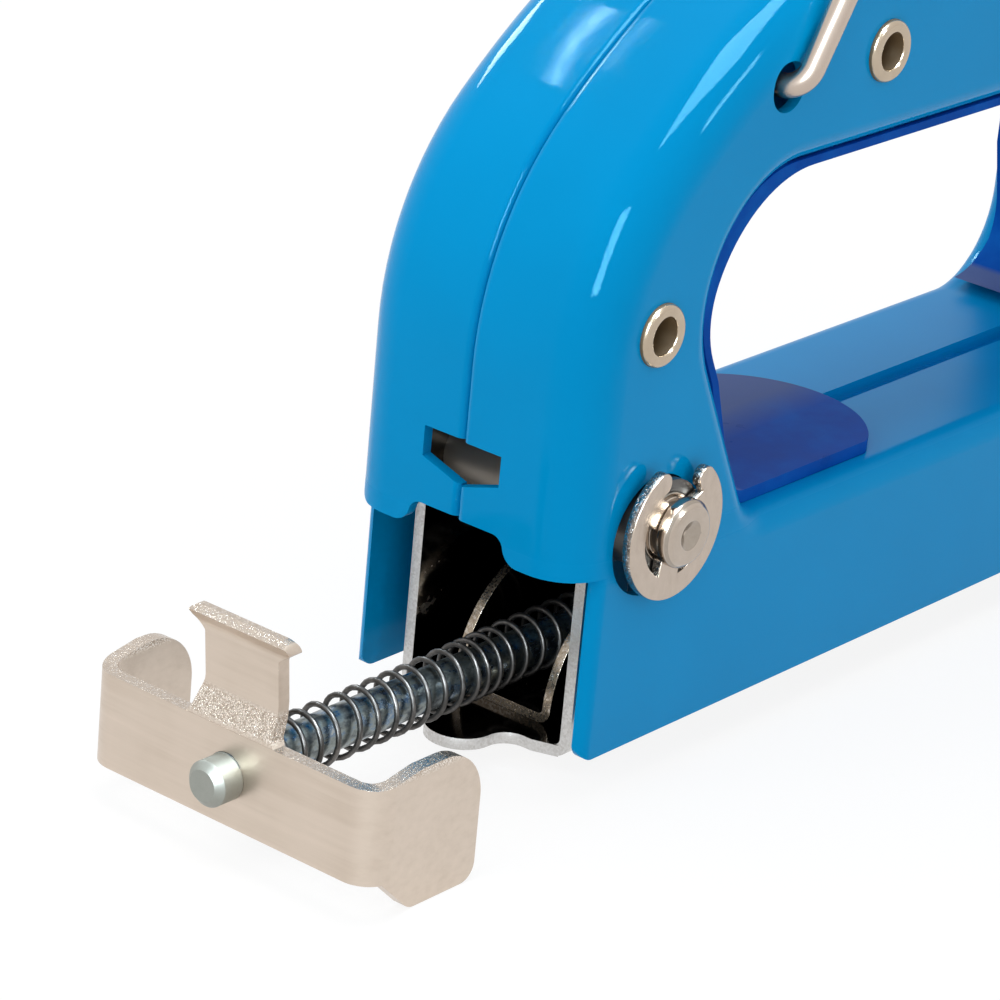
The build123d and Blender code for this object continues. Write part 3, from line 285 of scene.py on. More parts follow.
def build_height_band():
    """A soft-edged band of height between two levels of Z."""
    tree, into, out = new_group(
        "height_band",
        (
            ("Low", "NodeSocketFloat", 0.0),
            ("High", "NodeSocketFloat", 0.01),
            ("Soft", "NodeSocketFloat", 0.0003),
        ),
        "Mask",
    )
    height = object_axis(tree, "Z")
    over_low = calculate(tree, "SUBTRACT", height, into.outputs["Low"])
    under_high = calculate(tree, "SUBTRACT", into.outputs["High"], height)
    shares = [
        calculate(tree, "DIVIDE", gap, into.outputs["Soft"], use_clamp=True)
        for gap in (over_low, under_high)
    ]
    join(tree, calculate(tree, "MULTIPLY", *shares), out.inputs["Mask"])


def build_bright_backdrop():
    """1 for camera, mirror and clear rays, 0 for the rest."""
    tree, _, out = new_group("bright_backdrop", (), "Mask")
    rays = tree.nodes.new("ShaderNodeLightPath").outputs
    seen = calculate(tree, "MAXIMUM", rays["Is Camera Ray"], rays["Is Glossy Ray"])
    seen = calculate(tree, "MAXIMUM", seen, rays["Is Transmission Ray"])
    join(tree, seen, out.inputs["Mask"])


# ------------------------------------------------------------------ finishes
def even_grain(tree, scale, detail):
    """Grain as long as it is wide."""
    return put_group(tree, "rolled_grain", Scale=(scale, scale, scale), Detail=detail)


def paint_finish():
    """Thick gloss paint: a faint orange peel and slow drift in depth of colour."""
    tree, shader = new_material("shell_gloss_paint", finish().paint, roughness=0.07)
    shader.inputs["Specular IOR Level"].default_value = 0.1
    shader.inputs["Specular Tint"].default_value = (0.25, 0.75, 1.0, 1)
    r, g, b = finish().paint
    shades = ((r, g * 0.96, b * 0.955), (r, g * 1.03, b * 1.02))
    colour_by(tree, shader, even_grain(tree, 55, 2.0), 0.3, 0.7, shades)
    gloss = spread(tree, even_grain(tree, 900, 3.0), 0.35, 0.7, 0.03, 0.06)
    # the gloss is rubbed dull along the top of the bar, under the fingers
    rubbed = put_group(tree, "height_band", Low=18.5 * MM, High=21.5 * MM, Soft=0.5 * MM)
    rubbed_roughness = 0.3
    roughness = mix(tree, "FLOAT", rubbed, gloss, rubbed_roughness)
    join(tree, roughness, shader.inputs["Roughness"])
    height_to_normal(tree, shader, even_grain(tree, 260, 1.0), 0.02 * MM, 0.04)


def liner_finish():
    """Moulded plastic with a fine eggshell surface, and a painted reflection on its foot."""
    tree, shader = new_material("liner_moulding", finish().liner, roughness=0.3)
    shader.inputs["Specular IOR Level"].default_value = 0.02
    shader.inputs["Specular Tint"].default_value = (0.3, 0.6, 1.0, 1)
    r, g, b = finish().liner
    drift = even_grain(tree, 160, 5.0)
    shades = ((r, g * 0.8, b * 0.85), (r, g, b), (r * 2, g * 1.5, b * 1.2))
    shade = ramp(tree, drift, 0.3, 0.75, shades)
    # a painted reflection: a paler violet-grey colour over the middle of the foot
    inward = spread(tree, object_axis(tree, "Y"), -2.0 * MM, 2.5 * MM, 0.0, 1.0)
    on_foot = put_group(tree, "height_band", Low=20.2 * MM, High=21.6 * MM, Soft=0.3 * MM)
    painted_reflection = calculate(tree, "MULTIPLY", inward, on_foot)
    painted_reflection_colour = (0.10, 0.15, 0.33, 1)
    colour = mix(tree, "RGBA", painted_reflection, shade, painted_reflection_colour)
    join(tree, colour, shader.inputs["Base Color"])
    roughen_by(tree, shader, drift, 0.3, 0.75, 0.26, 0.38)
    height_to_normal(tree, shader, even_grain(tree, 3000, 2.0), 0.01 * MM, 0.3)


def plated_finish(name, colour, roughness, grain, depth=0.004 * MM, metallic=1.0):
    """Satin plating over rolled sheet, the grain's stretch given by its scales."""
    tree, shader = new_material(name, colour, metallic, roughness)
    streak = put_group(tree, "rolled_grain", Scale=grain, Detail=4.0)
    cloud_share = 0.45
    both = mix(tree, "FLOAT", cloud_share, streak, even_grain(tree, 140, 3.0))
    r, g, b = colour
    shades = (
        (r * 0.90, g * 0.885, b * 0.87),
        (r, g, b),
        (min(r * 1.07, 1), g * 1.07, b * 1.08),
    )
    colour_by(tree, shader, both, 0.3, 0.7, shades)
    roughen_by(tree, shader, both, 0.3, 0.7, roughness * 1.2, roughness * 0.85)
    height_to_normal(tree, shader, streak, depth, 0.5)
    return tree, shader


def bracket_finish():
    """The latch bracket's plating, with the hook tab's bend left coarse by the forming tool."""
    nickel = finish().nickel
    tree, shader = plated_finish("bracket_nickel", nickel, 0.33, (900, 60, 1400), 0.003 * MM)
    plain_colour, plain_roughness, plain_normal = (
        shader.inputs[name].links[0].from_socket
        for name in ("Base Color", "Roughness", "Normal")
    )
    bend = put_group(tree, "height_band", Low=10.9 * MM, High=13.5 * MM, Soft=0.5 * MM)
    sparkle = put_group(tree, "sheared_speckle", Scale=11000.0, Share=0.62)
    r, g, b = nickel
    shades = ((r * 0.62, g * 0.6, b * 0.57), (r * 0.88, g * 0.86, b * 0.84), (0.84, 0.77, 0.69))
    colour = mix(tree, "RGBA", bend, plain_colour, ramp(tree, sparkle, 0.25, 0.85, shades))
    join(tree, colour, shader.inputs["Base Color"])
    bend_roughness = 0.24
    roughness = mix(tree, "FLOAT", bend, plain_roughness, bend_roughness)
    join(tree, roughness, shader.inputs["Roughness"])
    bump = add_node(tree, "ShaderNodeBump", Strength=0.8, Distance=0.03 * MM)
    join(tree, calculate(tree, "MULTIPLY", sparkle, bend), bump.inputs["Height"])
    join(tree, plain_normal, bump.inputs["Normal"])
    join(tree, bump.outputs["Normal"], shader.inputs["Normal"])


def sheared_finish(name, colour, roughness, scale, depth, dark, bright):
    """A cut edge's grains: from dark times the colour to bright of the way to white."""
    tree, shader = new_material(name, colour, 1.0, roughness)
    grains = put_group(tree, "sheared_speckle", Scale=scale, Share=0.62)
    r, g, b = colour
    white = 0.95
    shades = (
        (r * dark, g * dark * 0.97, b * dark * 0.94),
        (r * 0.92, g * 0.91, b * 0.90),
        (r, g, b),
        tuple(c + (white - c) * bright for c in colour),
    )
    colour_by(tree, shader, grains, 0.2, 0.85, shades)
    roughen_by(tree, shader, grains, 0.2, 0.8, roughness * 1.4, roughness * 0.7)
    height_to_normal(tree, shader, grains, depth, 0.8)


def channel_finish():
    """Glossy dark colour inside the channel, as painted shade, worn through to pale metal in
    patches.
    """
    tree, shader = new_material("channel_painted_shade", (0.05, 0.044, 0.04), 1.0, 0.12)
    patches = put_group(tree, "rolled_grain", Scale=(120, 260, 200), Detail=5.0)
    speck = put_group(tree, "sheared_speckle", Scale=2600.0, Share=0.55)
    wear = calculate(tree, "MULTIPLY", spread(tree, patches, 0.56, 0.72, 0.0, 1.0), speck)
    shades = ((0.04, 0.035, 0.031), (0.12, 0.10, 0.085), (0.45, 0.41, 0.36))
    colour_by(tree, shader, wear, 0.05, 0.7, shades)
    roughen_by(tree, shader, wear, 0.0, 0.6, 0.10, 0.32)
    height_to_normal(tree, shader, patches, 0.03 * MM, 0.4)


def rod_finish():
    """Zinc passivate: bluish and greenish mottling over drawn rod."""
    tree, shader = new_material("rod_zinc", (0.30, 0.34, 0.36), 1.0, 0.28)
    mottle = put_group(tree, "rolled_grain", Scale=(520, 900, 900), Detail=6.0)
    shades = (
        (0.03, 0.037, 0.042),
        (0.12, 0.135, 0.14),
        (0.25, 0.275, 0.26),
        (0.15, 0.22, 0.31),
        (0.42, 0.43, 0.40),
    )
    colour_by(tree, shader, mottle, 0.32, 0.68, shades)
    roughen_by(tree, shader, mottle, 0.3, 0.7, 0.42, 0.2)
    drawn = put_group(tree, "rolled_grain", Scale=(120, 6000, 6000), Detail=3.0)
    height_to_normal(tree, shader, drawn, 0.012 * MM, 0.6)


def wire_finish():
    """Oil-hardened spring wire: a finely rough surface under a faint brown film."""
    tree, shader = new_material("spring_wire", (0.16, 0.155, 0.15), 1.0, 0.3)
    film = even_grain(tree, 700, 5.0)
    shades = ((0.05, 0.047, 0.044), (0.085, 0.08, 0.076), (0.16, 0.15, 0.142))
    colour_by(tree, shader, film, 0.32, 0.7, shades)
    roughen_by(tree, shader, film, 0.3, 0.7, 0.46, 0.32)
    height_to_normal(tree, shader, even_grain(tree, 5000, 2.0), 0.008 * MM, 0.4)


def bumper_finish():
    """Dull black rubber with a fine grit."""
    tree, shader = new_material("bumper_moulding", (0.02, 0.02, 0.02), 0.0, 0.7)
    grit = even_grain(tree, 2500, 3.0)
    roughen_by(tree, shader, grit, 0.3, 0.7, 0.6, 0.85)
    height_to_normal(tree, shader, grit, 0.04 * MM, 0.6)


# each edge: name, colour, roughness, scale and depth of its grains, how dark and bright they are
SHEARED_EDGES = (
    ("bracket_edge", (0.48, 0.40, 0.33), 0.34, 9000.0, 0.012 * MM, 0.7, 0.25),
    ("channel_edge", (0.56, 0.545, 0.53), 0.4, 5000.0, 0.006 * MM, 0.88, 0.1),
    ("rail_edge", (0.38, 0.31, 0.235), 0.3, 6000.0, 0.008 * MM, 0.75, 0.25),
    ("clip_edge", (0.25, 0.22, 0.19), 0.25, 7000.0, 0.02 * MM, 0.55, 0.35),
)
# each plating: name, colour, roughness, scales of its grain along x, y and z; where they differ
# from the rest, the grain's depth and how metallic it is
PLATINGS = (
    ("zinc_rod_end", (0.29, 0.295, 0.265), 0.5, (900, 900, 900)),
    ("clip_nickel", (0.50, 0.42, 0.35), 0.24, (1500, 90, 900)),
    ("pin_nickel", (0.47, 0.40, 0.335), 0.2, (900, 900, 900)),
    ("eyelet_nickel", (0.50, 0.41, 0.31), 0.2, (700, 700, 700)),
    # the eyelets' bores are coloured darker than their rims, as painted shade in the hollows
    ("eyelet_bore", (0.22, 0.145, 0.07), 0.5, (500, 500, 500), 0.004 * MM, 0.25),
    # the latch pin's shank inside the body is coloured darker than its ends, as painted shade
    ("pin_shank_painted_shade", (0.25, 0.22, 0.185), 0.4, (300, 40, 300), 0.004 * MM, 0.5),
    ("bail_ring_zinc", (0.54, 0.45, 0.38), 0.24, (90, 90, 90)),
    # the drilled cones are coloured darker than the pin, as painted shade
    ("drill_cone_painted_shade", (0.36, 0.31, 0.26), 0.22, (2500, 2500, 2500), 0.01 * MM),
    # the nose plate and spring cap, deep inside the body, are coloured dark as painted shade
    ("nickel_painted_shade", (0.21, 0.185, 0.155), 0.4, (500, 500, 60), 0.01 * MM),
    ("bright_zinc", (0.58, 0.57, 0.55), 0.25, (1200, 80, 80)),
    ("turned_steel", (0.55, 0.53, 0.50), 0.24, (700, 700, 700)),
    ("bolt_dark_steel", (0.12, 0.115, 0.11), 0.34, (600, 600, 600)),
)


def build_finishes():
    build_rolled_grain()
    build_sheared_speckle()
    build_height_band()
    paint_finish()
    liner_finish()
    bracket_finish()
    channel_finish()
    rod_finish()
    wire_finish()
    bumper_finish()
    for values in SHEARED_EDGES:
        sheared_finish(*values)
    for values in PLATINGS:
        plated_finish(*values)


def material(name):
    return bpy.data.materials[name]


def cover(node, name):
    """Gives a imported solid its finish."""
    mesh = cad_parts[node].data
    mesh.materials.clear()
    mesh.materials.append(material(name))


# ------------------------------------------------------------------ modelling helpers
WELD_GAP = 0.002 * MM
FLAT_ANGLE = math.radians(0.6)
SMOOTH_ANGLE = math.radians(50)
FLAT_FACE_WEIGHT = 60
# the places of a sheet piece's finishes among its materials
PLATED, EDGE, INSIDE = range(3)


def wake(piece):
    """Selects one object alone and makes it active."""
    bpy.ops.object.select_all(action="DESELECT")
    piece.select_set(True)
    bpy.context.view_layer.objects.active = piece


def in_edit(piece, steps):
    """Runs the steps in edit mode with the whole mesh selected."""
    wake(piece)
    bpy.ops.object.mode_set(mode="EDIT")
    bpy.ops.mesh.select_all(action="SELECT")
    steps()
    bpy.ops.object.mode_set(mode="OBJECT")


def welded_copy(node, name):
    """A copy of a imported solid's mesh with its loose triangles joined and its flats made whole."""
    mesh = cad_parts[node].data.copy()
    mesh.name = name
    mesh.materials.clear()
    piece = bpy.data.objects.new(name, mesh)
    bpy.context.scene.collection.objects.link(piece)

    def weld():
        bpy.ops.mesh.remove_doubles(threshold=WELD_GAP)
        bpy.ops.mesh.dissolve_limited(angle_limit=FLAT_ANGLE, delimit=set())
        bpy.ops.mesh.normals_make_consistent(inside=False)

    wake(piece)
    bpy.ops.mesh.customdata_custom_splitnormals_clear()
    in_edit(piece, weld)
    return piece


def smooth(piece):
    wake(piece)
    bpy.ops.object.shade_smooth_by_angle(angle=SMOOTH_ANGLE)


def soften(piece, width, segments, angle, finish_index=-1):
    """Rounds the edges that turn by more than angle degrees, then smooths the faces between."""
    wake(piece)
    bevel = piece.modifiers.new("edge_rounding", "BEVEL")
    bevel.width = width
    bevel.segments = segments
    bevel.limit_method = "ANGLE"
    bevel.angle_limit = math.radians(angle)
    bevel.use_clamp_overlap = True
    bevel.material = finish_index
    bpy.ops.object.modifier_apply(modifier=bevel.name)
    smooth(piece)
    weight = piece.modifiers.new("flat_faces", "WEIGHTED_NORMAL")
    weight.keep_sharp = True
    weight.weight = FLAT_FACE_WEIGHT
    bpy.ops.object.modifier_apply(modifier=weight.name)


def drill_centres(piece, ends, radius, depth):
    """Leaves the centre drill's shallow cone in each of the round end faces."""
    taper = 0.85
    for end in ends:
        face = piece.data.polygons[end]
        rim = max((piece.data.vertices[v].co - face.center).length for v in face.vertices)
        wake(piece)
        bpy.ops.object.mode_set(mode="EDIT")
        bpy.ops.mesh.select_mode(type="FACE")
        bpy.ops.mesh.select_all(action="DESELECT")
        bpy.ops.object.mode_set(mode="OBJECT")
        piece.data.polygons[end].select = True
        bpy.ops.object.mode_set(mode="EDIT")
        bpy.ops.mesh.inset(thickness=rim - radius, depth=0.0)
        bpy.ops.mesh.inset(thickness=radius * taper, depth=-depth)
        bpy.ops.object.mode_set(mode="OBJECT")


def finish_faces(piece, names, chooser):
    """Gives each face the finish that chooser(normal, centre) picks from names."""
    for name in names:
        piece.data.materials.append(material(name))
    for face in piece.data.polygons:
        face.material_index = chooser(face.normal, face.center)


def seat(piece, body, node):
    """Puts a piece on its body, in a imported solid's place."""
    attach(piece, body)
    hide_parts(node)


# ------------------------------------------------------------------ operators
class BuildFinishes(bpy.types.Operator):
    """Mix the paints and platings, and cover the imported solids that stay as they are"""

    bl_idname = "staple_gun.build_finishes"
    bl_label = "Finishes"

    def execute(self, context):
        build_finishes()
        kept = {
            "bright_zinc": ("blade_guides", "pusher_block", "lifting_arm"),
            # the nose plate and spring cap, seen inside the body, are coloured dark as painted shade
            "nickel_painted_shade": ("nose_plate", "spring_cap"),
            "turned_steel": ("lever_pin", "arm_rivets", "hammer_rivets"),
            "bolt_dark_steel": (
                "pin_bushes",
                "rivet_sleeves",
                "lever_bushes",
                "hammer",
                "striker_blade",
                "spring_guide",
            ),
            "bail_ring_zinc": ("wire_bail",),
            "bumper_moulding": ("bumper",),
        }
        for name, nodes in kept.items():
            for node in nodes:
                cover(node, name)
        return {"FINISHED"}


class RollShellEdges(bpy.types.Operator):
    """Round the cut edges of the two painted shells under their thick paint"""

    bl_idname = "staple_gun.roll_shell_edges"
    bl_label = "Body shells"

    def execute(self, context):
        for node in ("left_shell", "right_shell"):
            piece = welded_copy(node, f"{node}_painted")
            piece.data.materials.append(material("shell_gloss_paint"))
            soften(piece, width=0.28 * MM, segments=3, angle=38)
            seat(piece, "body", node)
        return {"FINISHED"}


class MouldFingerLiner(bpy.types.Operator):
    """Round the moulded edges of the finger opening's liner"""

    bl_idname = "staple_gun.mould_finger_liner"
    bl_label = "Finger liner"

    def execute(self, context):
        piece = welded_copy("finger_liner", "liner_moulding")
        piece.data.materials.append(material("liner_moulding"))
        soften(piece, width=0.42 * MM, segments=4, angle=38)
        seat(piece, "body", "finger_liner")
        return {"FINISHED"}


class FitPinsAndEyelets(bpy.types.Operator):
    """Drill the latch pin's centres, and colour its shank, its cones and the eyelets' bores darker,
    as painted shade
    """

    bl_idname = "staple_gun.fit_pins_and_eyelets"
    bl_label = "Latch pin and eyelets"

    def execute(self, context):
        pin = welded_copy("latch_pin", "latch_pin_turned")
        finishes = ("pin_nickel", "pin_shank_painted_shade", "drill_cone_painted_shade")
        shank_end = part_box("pin_bushes")[1].y - 1 * MM
        # the shank between the bushes takes the darker colour of painted shade
        finish_faces(pin, finishes, lambda normal, centre: int(abs(centre.y) < shank_end))
        far_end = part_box("latch_pin")[1].y
        ends = [
            face.index
            for face in pin.data.polygons
            if abs(face.normal.y) > 0.95 and abs(face.center.y) > far_end - 0.05 * MM
        ]
        mark_radius, mark_depth = 1.3 * MM, 0.7 * MM
        drill_centres(pin, ends, mark_radius, mark_depth)
        # the cone's sides lie deeper than the pin's rounded rim
        # and are coloured darker, as painted shade in the cone
        for face in pin.data.polygons:
            sunk = far_end - abs(face.center.y)
            if 0.1 < abs(face.normal.y) < 0.9 and 0.2 * MM < sunk < mark_depth:
                face.material_index = finishes.index("drill_cone_painted_shade")
        soften(pin, width=0.12 * MM, segments=3, angle=30)
        seat(pin, "body", "latch_pin")

        eyelets = welded_copy("body_rivets", "hollow_eyelets")
        bore_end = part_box("body_rivets")[1].y - 0.25 * MM
        # the bores take the darker colour of painted shade
        finish_faces(
            eyelets,
            ("eyelet_nickel", "eyelet_bore"),
            lambda normal, centre: int(abs(normal.y) < 0.25 and abs(centre.y) < bore_end),
        )
        smooth(eyelets)
        seat(eyelets, "body", "body_rivets")
        return {"FINISHED"}


class FormLatchBracket(bpy.types.Operator):
    """Round the sheared edges of the latch bracket and plate it"""

    bl_idname = "staple_gun.form_latch_bracket"
    bl_label = "Latch bracket"

    def execute(self, context):
        piece = welded_copy("latch_bracket", "bracket_sheet")
        piece.data.materials.append(material("bracket_nickel"))
        piece.data.materials.append(material("bracket_edge"))
        soften(piece, width=finish().edge_round, segments=3, angle=38, finish_index=EDGE)
        top_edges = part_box("latch_bracket")[0].z + 8 * MM
        for face in piece.data.polygons:
            if abs(face.normal.z) > 0.7 and face.center.z > top_edges:
                face.material_index = EDGE
        seat(piece, "latch", "latch_bracket")
        return {"FINISHED"}


class FormChannel(bpy.types.Operator):
    """Round the cut edges of the magazine's channel and rail, plate them, and colour the channel's
    inner faces and the rail dark, as painted shade
    """

    bl_idname = "staple_gun.form_channel"
    bl_label = "Magazine channel"

    def execute(self, context):
        piece = welded_copy("magazine_channel", "channel_sheet")
        low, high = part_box("magazine_channel")
        rear = low.x + 8 * MM
        lip_half_width = 5 * MM
        inner_walls = high.y - 0.95 * MM

        def choose(normal, centre):
            on_lip = abs(normal.z) < 0.3 and abs(centre.y) < lip_half_width
            if centre.x < rear and (normal.x < -0.25 or on_lip):
                return EDGE
            # the inner faces take the dark colour of painted shade
            if abs(centre.y) < inner_walls and normal.z > -0.7:
                return INSIDE
            return PLATED

        finish_faces(piece, ("bright_zinc", "channel_edge", "channel_painted_shade"), choose)
        soften(piece, width=finish().edge_round, segments=2, angle=40, finish_index=EDGE)
        seat(piece, "body", "magazine_channel")

        rail = welded_copy("magazine_rail", "rail_sheet")
        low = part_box("magazine_rail")[0]
        rail_rear = low.x + 14 * MM
        wall_foot = low.z + 1.5 * MM

        def choose_rail(normal, centre):
            on_top = normal.z > 0.5 and centre.z > wall_foot
            at_rear = normal.x < -0.3 and centre.x < rail_rear
            return EDGE if on_top or at_rear else PLATED

        # the rail, inside the channel, takes the same painted shade
        finish_faces(rail, ("channel_painted_shade", "rail_edge"), choose_rail)
        soften(rail, width=0.15 * MM, segments=2, angle=40, finish_index=EDGE)
        seat(rail, "body", "magazine_rail")
        return {"FINISHED"}


class FormClips(bpy.types.Operator):
    """Round the stamped edges of the spring clips"""

    bl_idname = "staple_gun.form_clips"
    bl_label = "Spring clips"

    def execute(self, context):
        for node in ("latch_pin_clips", "lever_pin_clips"):
            piece = welded_copy(node, f"{node}_stamped")
            finish_faces(
                piece,
                ("clip_nickel", "clip_edge"),
                lambda normal, centre: EDGE if abs(normal.y) < 0.6 else PLATED,
            )
            soften(piece, width=0.12 * MM, segments=2, angle=40, finish_index=PLATED)
            seat(piece, "body", node)
        return {"FINISHED"}


class CutGuideRod(bpy.types.Operator):
    """Finish the guide rod in mottled zinc, with its riveted end paler"""

    bl_idname = "staple_gun.cut_guide_rod"
    bl_label = "Guide rod"

    def execute(self, context):
        piece = welded_copy("guide_rod", "zinc_guide_rod")
        riveted_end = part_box("latch_bracket")[0].x + 0.5 * MM
        finish_faces(
            piece, ("rod_zinc", "zinc_rod_end"), lambda normal, centre: int(centre.x < riveted_end)
        )
        soften(piece, width=0.12 * MM, segments=2, angle=30)
        seat(piece, "latch", "guide_rod")
        return {"FINISHED"}


class CoilMainSpring(bpy.types.Operator):
    """Finish the main spring in spring wire and seat it in the imported solid's place"""

    bl_idname = "staple_gun.coil_main_spring"
    bl_label = "Main spring"

    def execute(self, context):
        piece = welded_copy("main_spring", "main_spring_coil")
        piece.data.materials.append(material("spring_wire"))
        smooth(piece)
        seat(piece, "body", "main_spring")
        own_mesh(piece)
        return {"FINISHED"}


class WindPusherSpring(bpy.types.Operator):
    """Wind the long soft spring that presses the staples forward"""

    bl_idname = "staple_gun.wind_pusher_spring"
    bl_label = "Pusher spring"

    def execute(self, context):
        low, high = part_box("pusher_spring")
        mid_z = (low.z + high.z) / 2
        wire = 0.24 * MM
        radius = (high.z - low.z) / 2 - wire
        start = low.x + wire
        # millimetres from turn to turn: close against the plate, then uneven, then even as far
        # as the closed turns at the front
        pitches = [0.6, 1.2, 1.44, 2.15, 1.8, 2.05, 2.65, 2.05, 2.2, 1.95]
        pitches += [1.85, 2.1, 2.1, 1.9, 1.1, 1.6, 1.5, 1.9]
        closed_turns = [0.6, 0.6]
        usual_pitch = 2.15
        rest = high.x - wire - start - sum(pitches) * MM - sum(closed_turns) * MM
        turns = round(rest / (usual_pitch * MM))
        pitches += [rest / turns / MM] * turns + closed_turns
        # the drawn-out spring rises a little inside the channel
        rise, rise_from, rise_over = 0.4 * MM, 20 * MM, 12 * MM
        steps = 24
        points = []
        x = start
        for turn, pitch in enumerate(pitches):
            for step in range(steps):
                angle = 2 * math.pi * ((turn * steps + step) / steps)
                along = x + pitch * MM * step / steps
                up = rise * min(1.0, max(0.0, (along - start - rise_from) / rise_over))
                points.append(
                    (along, radius * math.sin(angle), mid_z + radius * math.cos(angle) + up)
                )
            x += pitch * MM
        curve = bpy.data.curves.new("pusher_spring_wire", "CURVE")
        curve.dimensions = "3D"
        curve.bevel_depth = wire
        curve.bevel_resolution = 2
        curve.use_fill_caps = True
        line = curve.splines.new("POLY")
        line.points.add(len(points) - 1)
        for point, place in zip(line.points, points):
            point.co = (*place, 1)
        piece = bpy.data.objects.new("pusher_spring_wire", curve)
        context.scene.collection.objects.link(piece)
        wake(piece)
        bpy.ops.object.convert(target="MESH")
        piece = context.object
        piece.data.materials.append(material("spring_wire"))
        smooth(piece)
        seat(piece, "latch", "pusher_spring")
        return {"FINISHED"}


class FormLever(bpy.types.Operator):
    """Round the folded edges of the squeeze lever"""

    bl_idname = "staple_gun.form_lever"
    bl_label = "Squeeze lever"

    def execute(self, context):
        piece = welded_copy("lever", "lever_sheet")
        piece.data.materials.append(material("bright_zinc"))
        piece.data.materials.append(material("channel_edge"))
        soften(piece, width=0.2 * MM, segments=2, angle=40, finish_index=EDGE)
        seat(piece, "lever", "lever")
        return {"FINISHED"}


# ------------------------------------------------------------------ studio
TARGET = Vector((-0.11, 0, 0.03))
LAMP_DISTANCE = 0.9
# an area lamp's power for each square metre of it and unit of its radiance
POWER_PER_RADIANCE = 4
MATT_TINT = (1, 0.985, 0.96)
CARD_TINT = (0.80, 0.92, 1.0)
# each matt lamp: its direction from the tool, its width, height and radiance
MATT_LAMPS = (
    ("key_rear", (-0.75, 0.10, 0.65), 0.6, 0.5, 1.75),
    ("key_top", (0.10, 0.15, 1.0), 0.7, 0.6, 1.5),
    ("fill_right", (-0.20, -0.85, 0.5), 0.6, 0.5, 0.5),
)
# each card: two ends of its middle line, its width and its radiance
CARDS = (
    ("card_shoulder", (-0.84, -0.45, 0.24), (-0.62, -0.37, 0.69), 0.19, 42),
    ("card_top", (-0.22, -0.10, 0.97), (0.12, -0.36, 0.92), 0.36, 34),
    ("card_right", (0.06, -0.80, 0.58), (0.20, -0.76, 0.62), 0.09, 34),
    ("card_left", (0.02, 0.80, 0.59), (0.22, 0.84, 0.46), 0.13, 24),
    ("card_spine", (-0.163, 0.5752, 0.801), (0.041, 0.5664, 0.823), 0.0045, 42),
    ("card_seam", (-0.101, 0.563, 0.82), (0.042, 0.555, 0.831), 0.0015, 25),
)
CAMERA_PLACE = (-0.37069, -0.20024, 0.15666)
CAMERA_RIGHT = (0.64112, -0.76258, 0.08613)
CAMERA_UP = (0.24309, 0.30824, 0.91973)
CAMERA_LENS = 158.26
CAMERA_SENSOR = 36


def area_lamp(name, place, across, wide, high, radiance, tint):
    """A rectangular lamp at place, facing the tool, its width along across."""
    bpy.ops.object.light_add(type="AREA", location=place)
    lamp = bpy.context.object
    lamp.name = name
    lamp.data.shape = "RECTANGLE"
    lamp.data.size = wide
    lamp.data.size_y = high
    lamp.data.color = tint
    lamp.data.energy = radiance * POWER_PER_RADIANCE * wide * high
    back = (place - TARGET).normalized()
    across = (across - back * across.dot(back)).normalized()
    turn = Matrix((across, back.cross(across), back)).transposed()
    lamp.rotation_euler = turn.to_euler()
    lamp.visible_transmission = False
    return lamp


def matt_lamp(name, towards, wide, high, radiance):
    """Soft light that shows in no reflection."""
    place = TARGET + Vector(towards).normalized() * LAMP_DISTANCE
    lamp = area_lamp(name, place, Vector((0, 1, 0.01)), wide, high, radiance, MATT_TINT)
    lamp.visible_glossy = False


def reflected_card(name, first, last, wide, radiance):
    """A bright strip between two directions, seen only in reflections."""
    first, last = Vector(first), Vector(last)
    place = TARGET + (first + last) / 2 * LAMP_DISTANCE
    long_side = (last - first) * LAMP_DISTANCE
    lamp = area_lamp(name, place, long_side, long_side.length, wide, radiance, CARD_TINT)
    lamp.visible_diffuse = False


def show_backdrop(tree, lit, seen, output):
    """Joins the shader that lights the tool, and the one that the camera and mirrors see."""
    both = tree.nodes.new("ShaderNodeMixShader")
    join(tree, put_group(tree, "bright_backdrop"), both.inputs[0])
    join(tree, lit.outputs[0], both.inputs[1])
    join(tree, seen.outputs[0], both.inputs[2])
    join(tree, both.outputs[0], output.inputs["Surface"])


def lay_floor(size):
    """A matt floor that looks white and keeps part of the tool's shadow."""
    bpy.ops.object.select_all(action="DESELECT")
    bpy.ops.mesh.primitive_plane_add(size=size, location=(0, 0, -0.1 * MM))
    floor = bpy.context.object
    floor.name = "floor"
    tree, shader = new_material("floor_white", (0.72, 0.72, 0.72), 0.0, 0.9)
    shader.inputs["Specular IOR Level"].default_value = 0.0
    glow = add_node(tree, "ShaderNodeEmission", Color=(1, 1, 1, 1), Strength=0.85)
    shade = add_node(tree, "ShaderNodeBsdfDiffuse", Color=(0.17, 0.17, 0.17, 1))
    seen = tree.nodes.new("ShaderNodeAddShader")
    join(tree, glow.outputs[0], seen.inputs[0])
    join(tree, shade.outputs[0], seen.inputs[1])
    show_backdrop(tree, shader, seen, tree.nodes["Material Output"])
    floor.data.materials.append(material("floor_white"))


def light_sky(scene, strength):
    """Even light from all round, plain white where it is seen."""
    scene.world = bpy.data.worlds.new("studio")
    scene.world.use_nodes = True
    tree = scene.world.node_tree
    tree.nodes.clear()
    output = tree.nodes.new("ShaderNodeOutputWorld")
    lit = add_node(tree, "ShaderNodeBackground", Color=(0.93, 0.97, 1.0, 1), Strength=strength)
    plain = add_node(tree, "ShaderNodeBackground", Color=(1, 1, 1, 1), Strength=1.0)
    show_backdrop(tree, lit, plain, output)


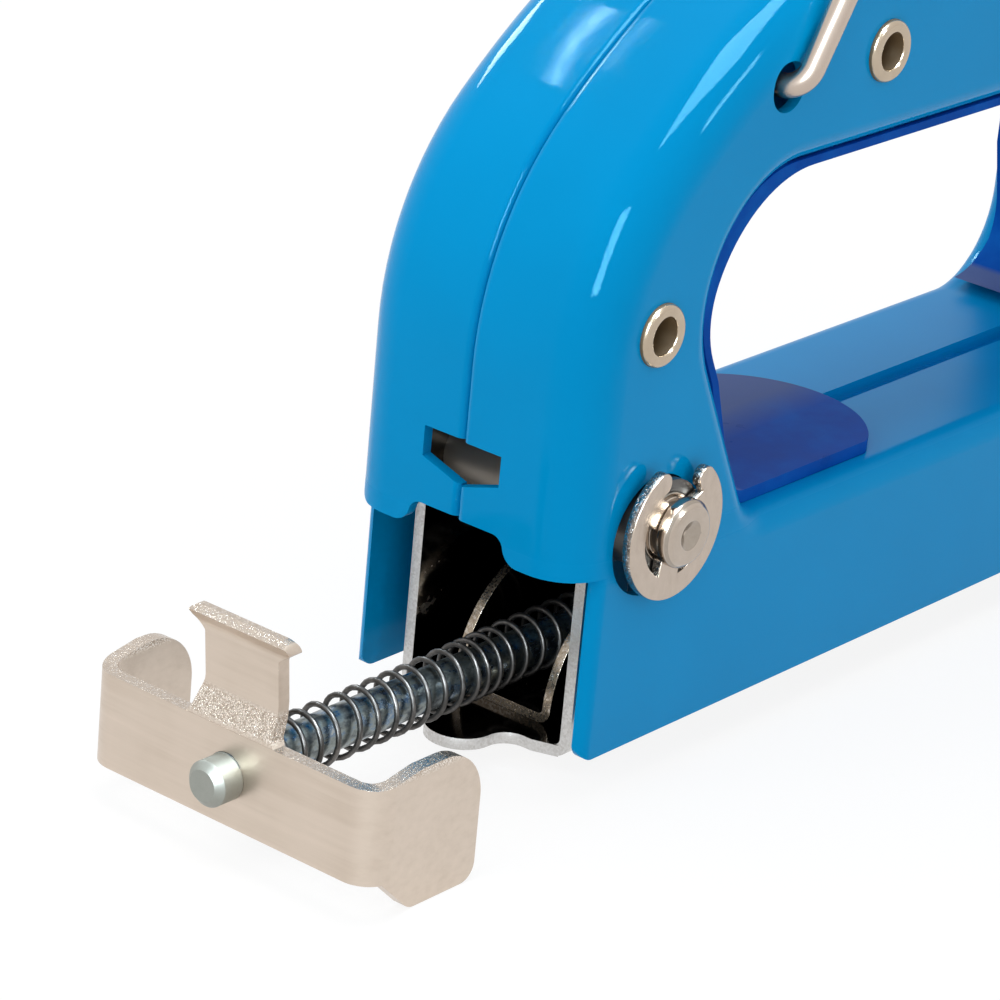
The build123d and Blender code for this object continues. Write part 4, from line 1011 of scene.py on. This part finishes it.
def place_camera(scene):
    cam_data = bpy.data.cameras.new("camera")
    cam = bpy.data.objects.new("camera", cam_data)
    scene.collection.objects.link(cam)
    cam_data.lens = CAMERA_LENS
    cam_data.sensor_width = CAMERA_SENSOR
    cam_data.clip_start = 0.01
    cam_data.clip_end = 50
    right = Vector(CAMERA_RIGHT).normalized()
    up = Vector(CAMERA_UP)
    up = (up - right * up.dot(right)).normalized()
    turn = Matrix((right, up, right.cross(up))).transposed().to_4x4()
    cam.matrix_world = Matrix.Translation(CAMERA_PLACE) @ turn
    scene.camera = cam


class BuildStudio(bpy.types.Operator):
    """Add the floor, the lamps and the camera"""

    bl_idname = "staple_gun.build_studio"
    bl_label = "Studio"

    def execute(self, context):
        scene = context.scene
        studio = scene.staple_gun_studio
        build_bright_backdrop()
        lay_floor(studio.floor_size)
        light_sky(scene, studio.sky)
        for values in MATT_LAMPS:
            matt_lamp(*values)
        for values in CARDS:
            reflected_card(*values)
        place_camera(scene)
        scene.view_settings.view_transform = "Standard"
        return {"FINISHED"}


class StapleGunPanel(bpy.types.Panel):
    """Lists the staple gun's steps"""

    bl_idname = "VIEW3D_PT_staple_gun"
    bl_label = "Staple gun"
    bl_space_type = "VIEW_3D"
    bl_region_type = "UI"
    bl_category = "Staple gun"

    def draw(self, context):
        for cls in OPERATORS:
            self.layout.operator(cls.bl_idname)


OPERATORS = (
    BuildFinishes,
    RollShellEdges,
    MouldFingerLiner,
    FitPinsAndEyelets,
    FormLatchBracket,
    FormChannel,
    FormClips,
    CutGuideRod,
    CoilMainSpring,
    WindPusherSpring,
    FormLever,
    BuildStudio,
)
CLASSES = (StapleGunFinish, StapleGunStudio, *OPERATORS, StapleGunPanel)


def register():
    for cls in CLASSES:
        bpy.utils.register_class(cls)
    bpy.types.Scene.staple_gun_finish = bpy.props.PointerProperty(type=StapleGunFinish)
    bpy.types.Scene.staple_gun_studio = bpy.props.PointerProperty(type=StapleGunStudio)


def unregister():
    del bpy.types.Scene.staple_gun_studio
    del bpy.types.Scene.staple_gun_finish
    for cls in reversed(CLASSES):
        bpy.utils.unregister_class(cls)


def main():
    register()
    for cls in OPERATORS:
        group, name = cls.bl_idname.split(".")
        result = getattr(getattr(bpy.ops, group), name)()
        if result != {"FINISHED"}:
            raise RuntimeError(f"{cls.bl_idname} did not finish")


if __name__ == "__main__":
    main()
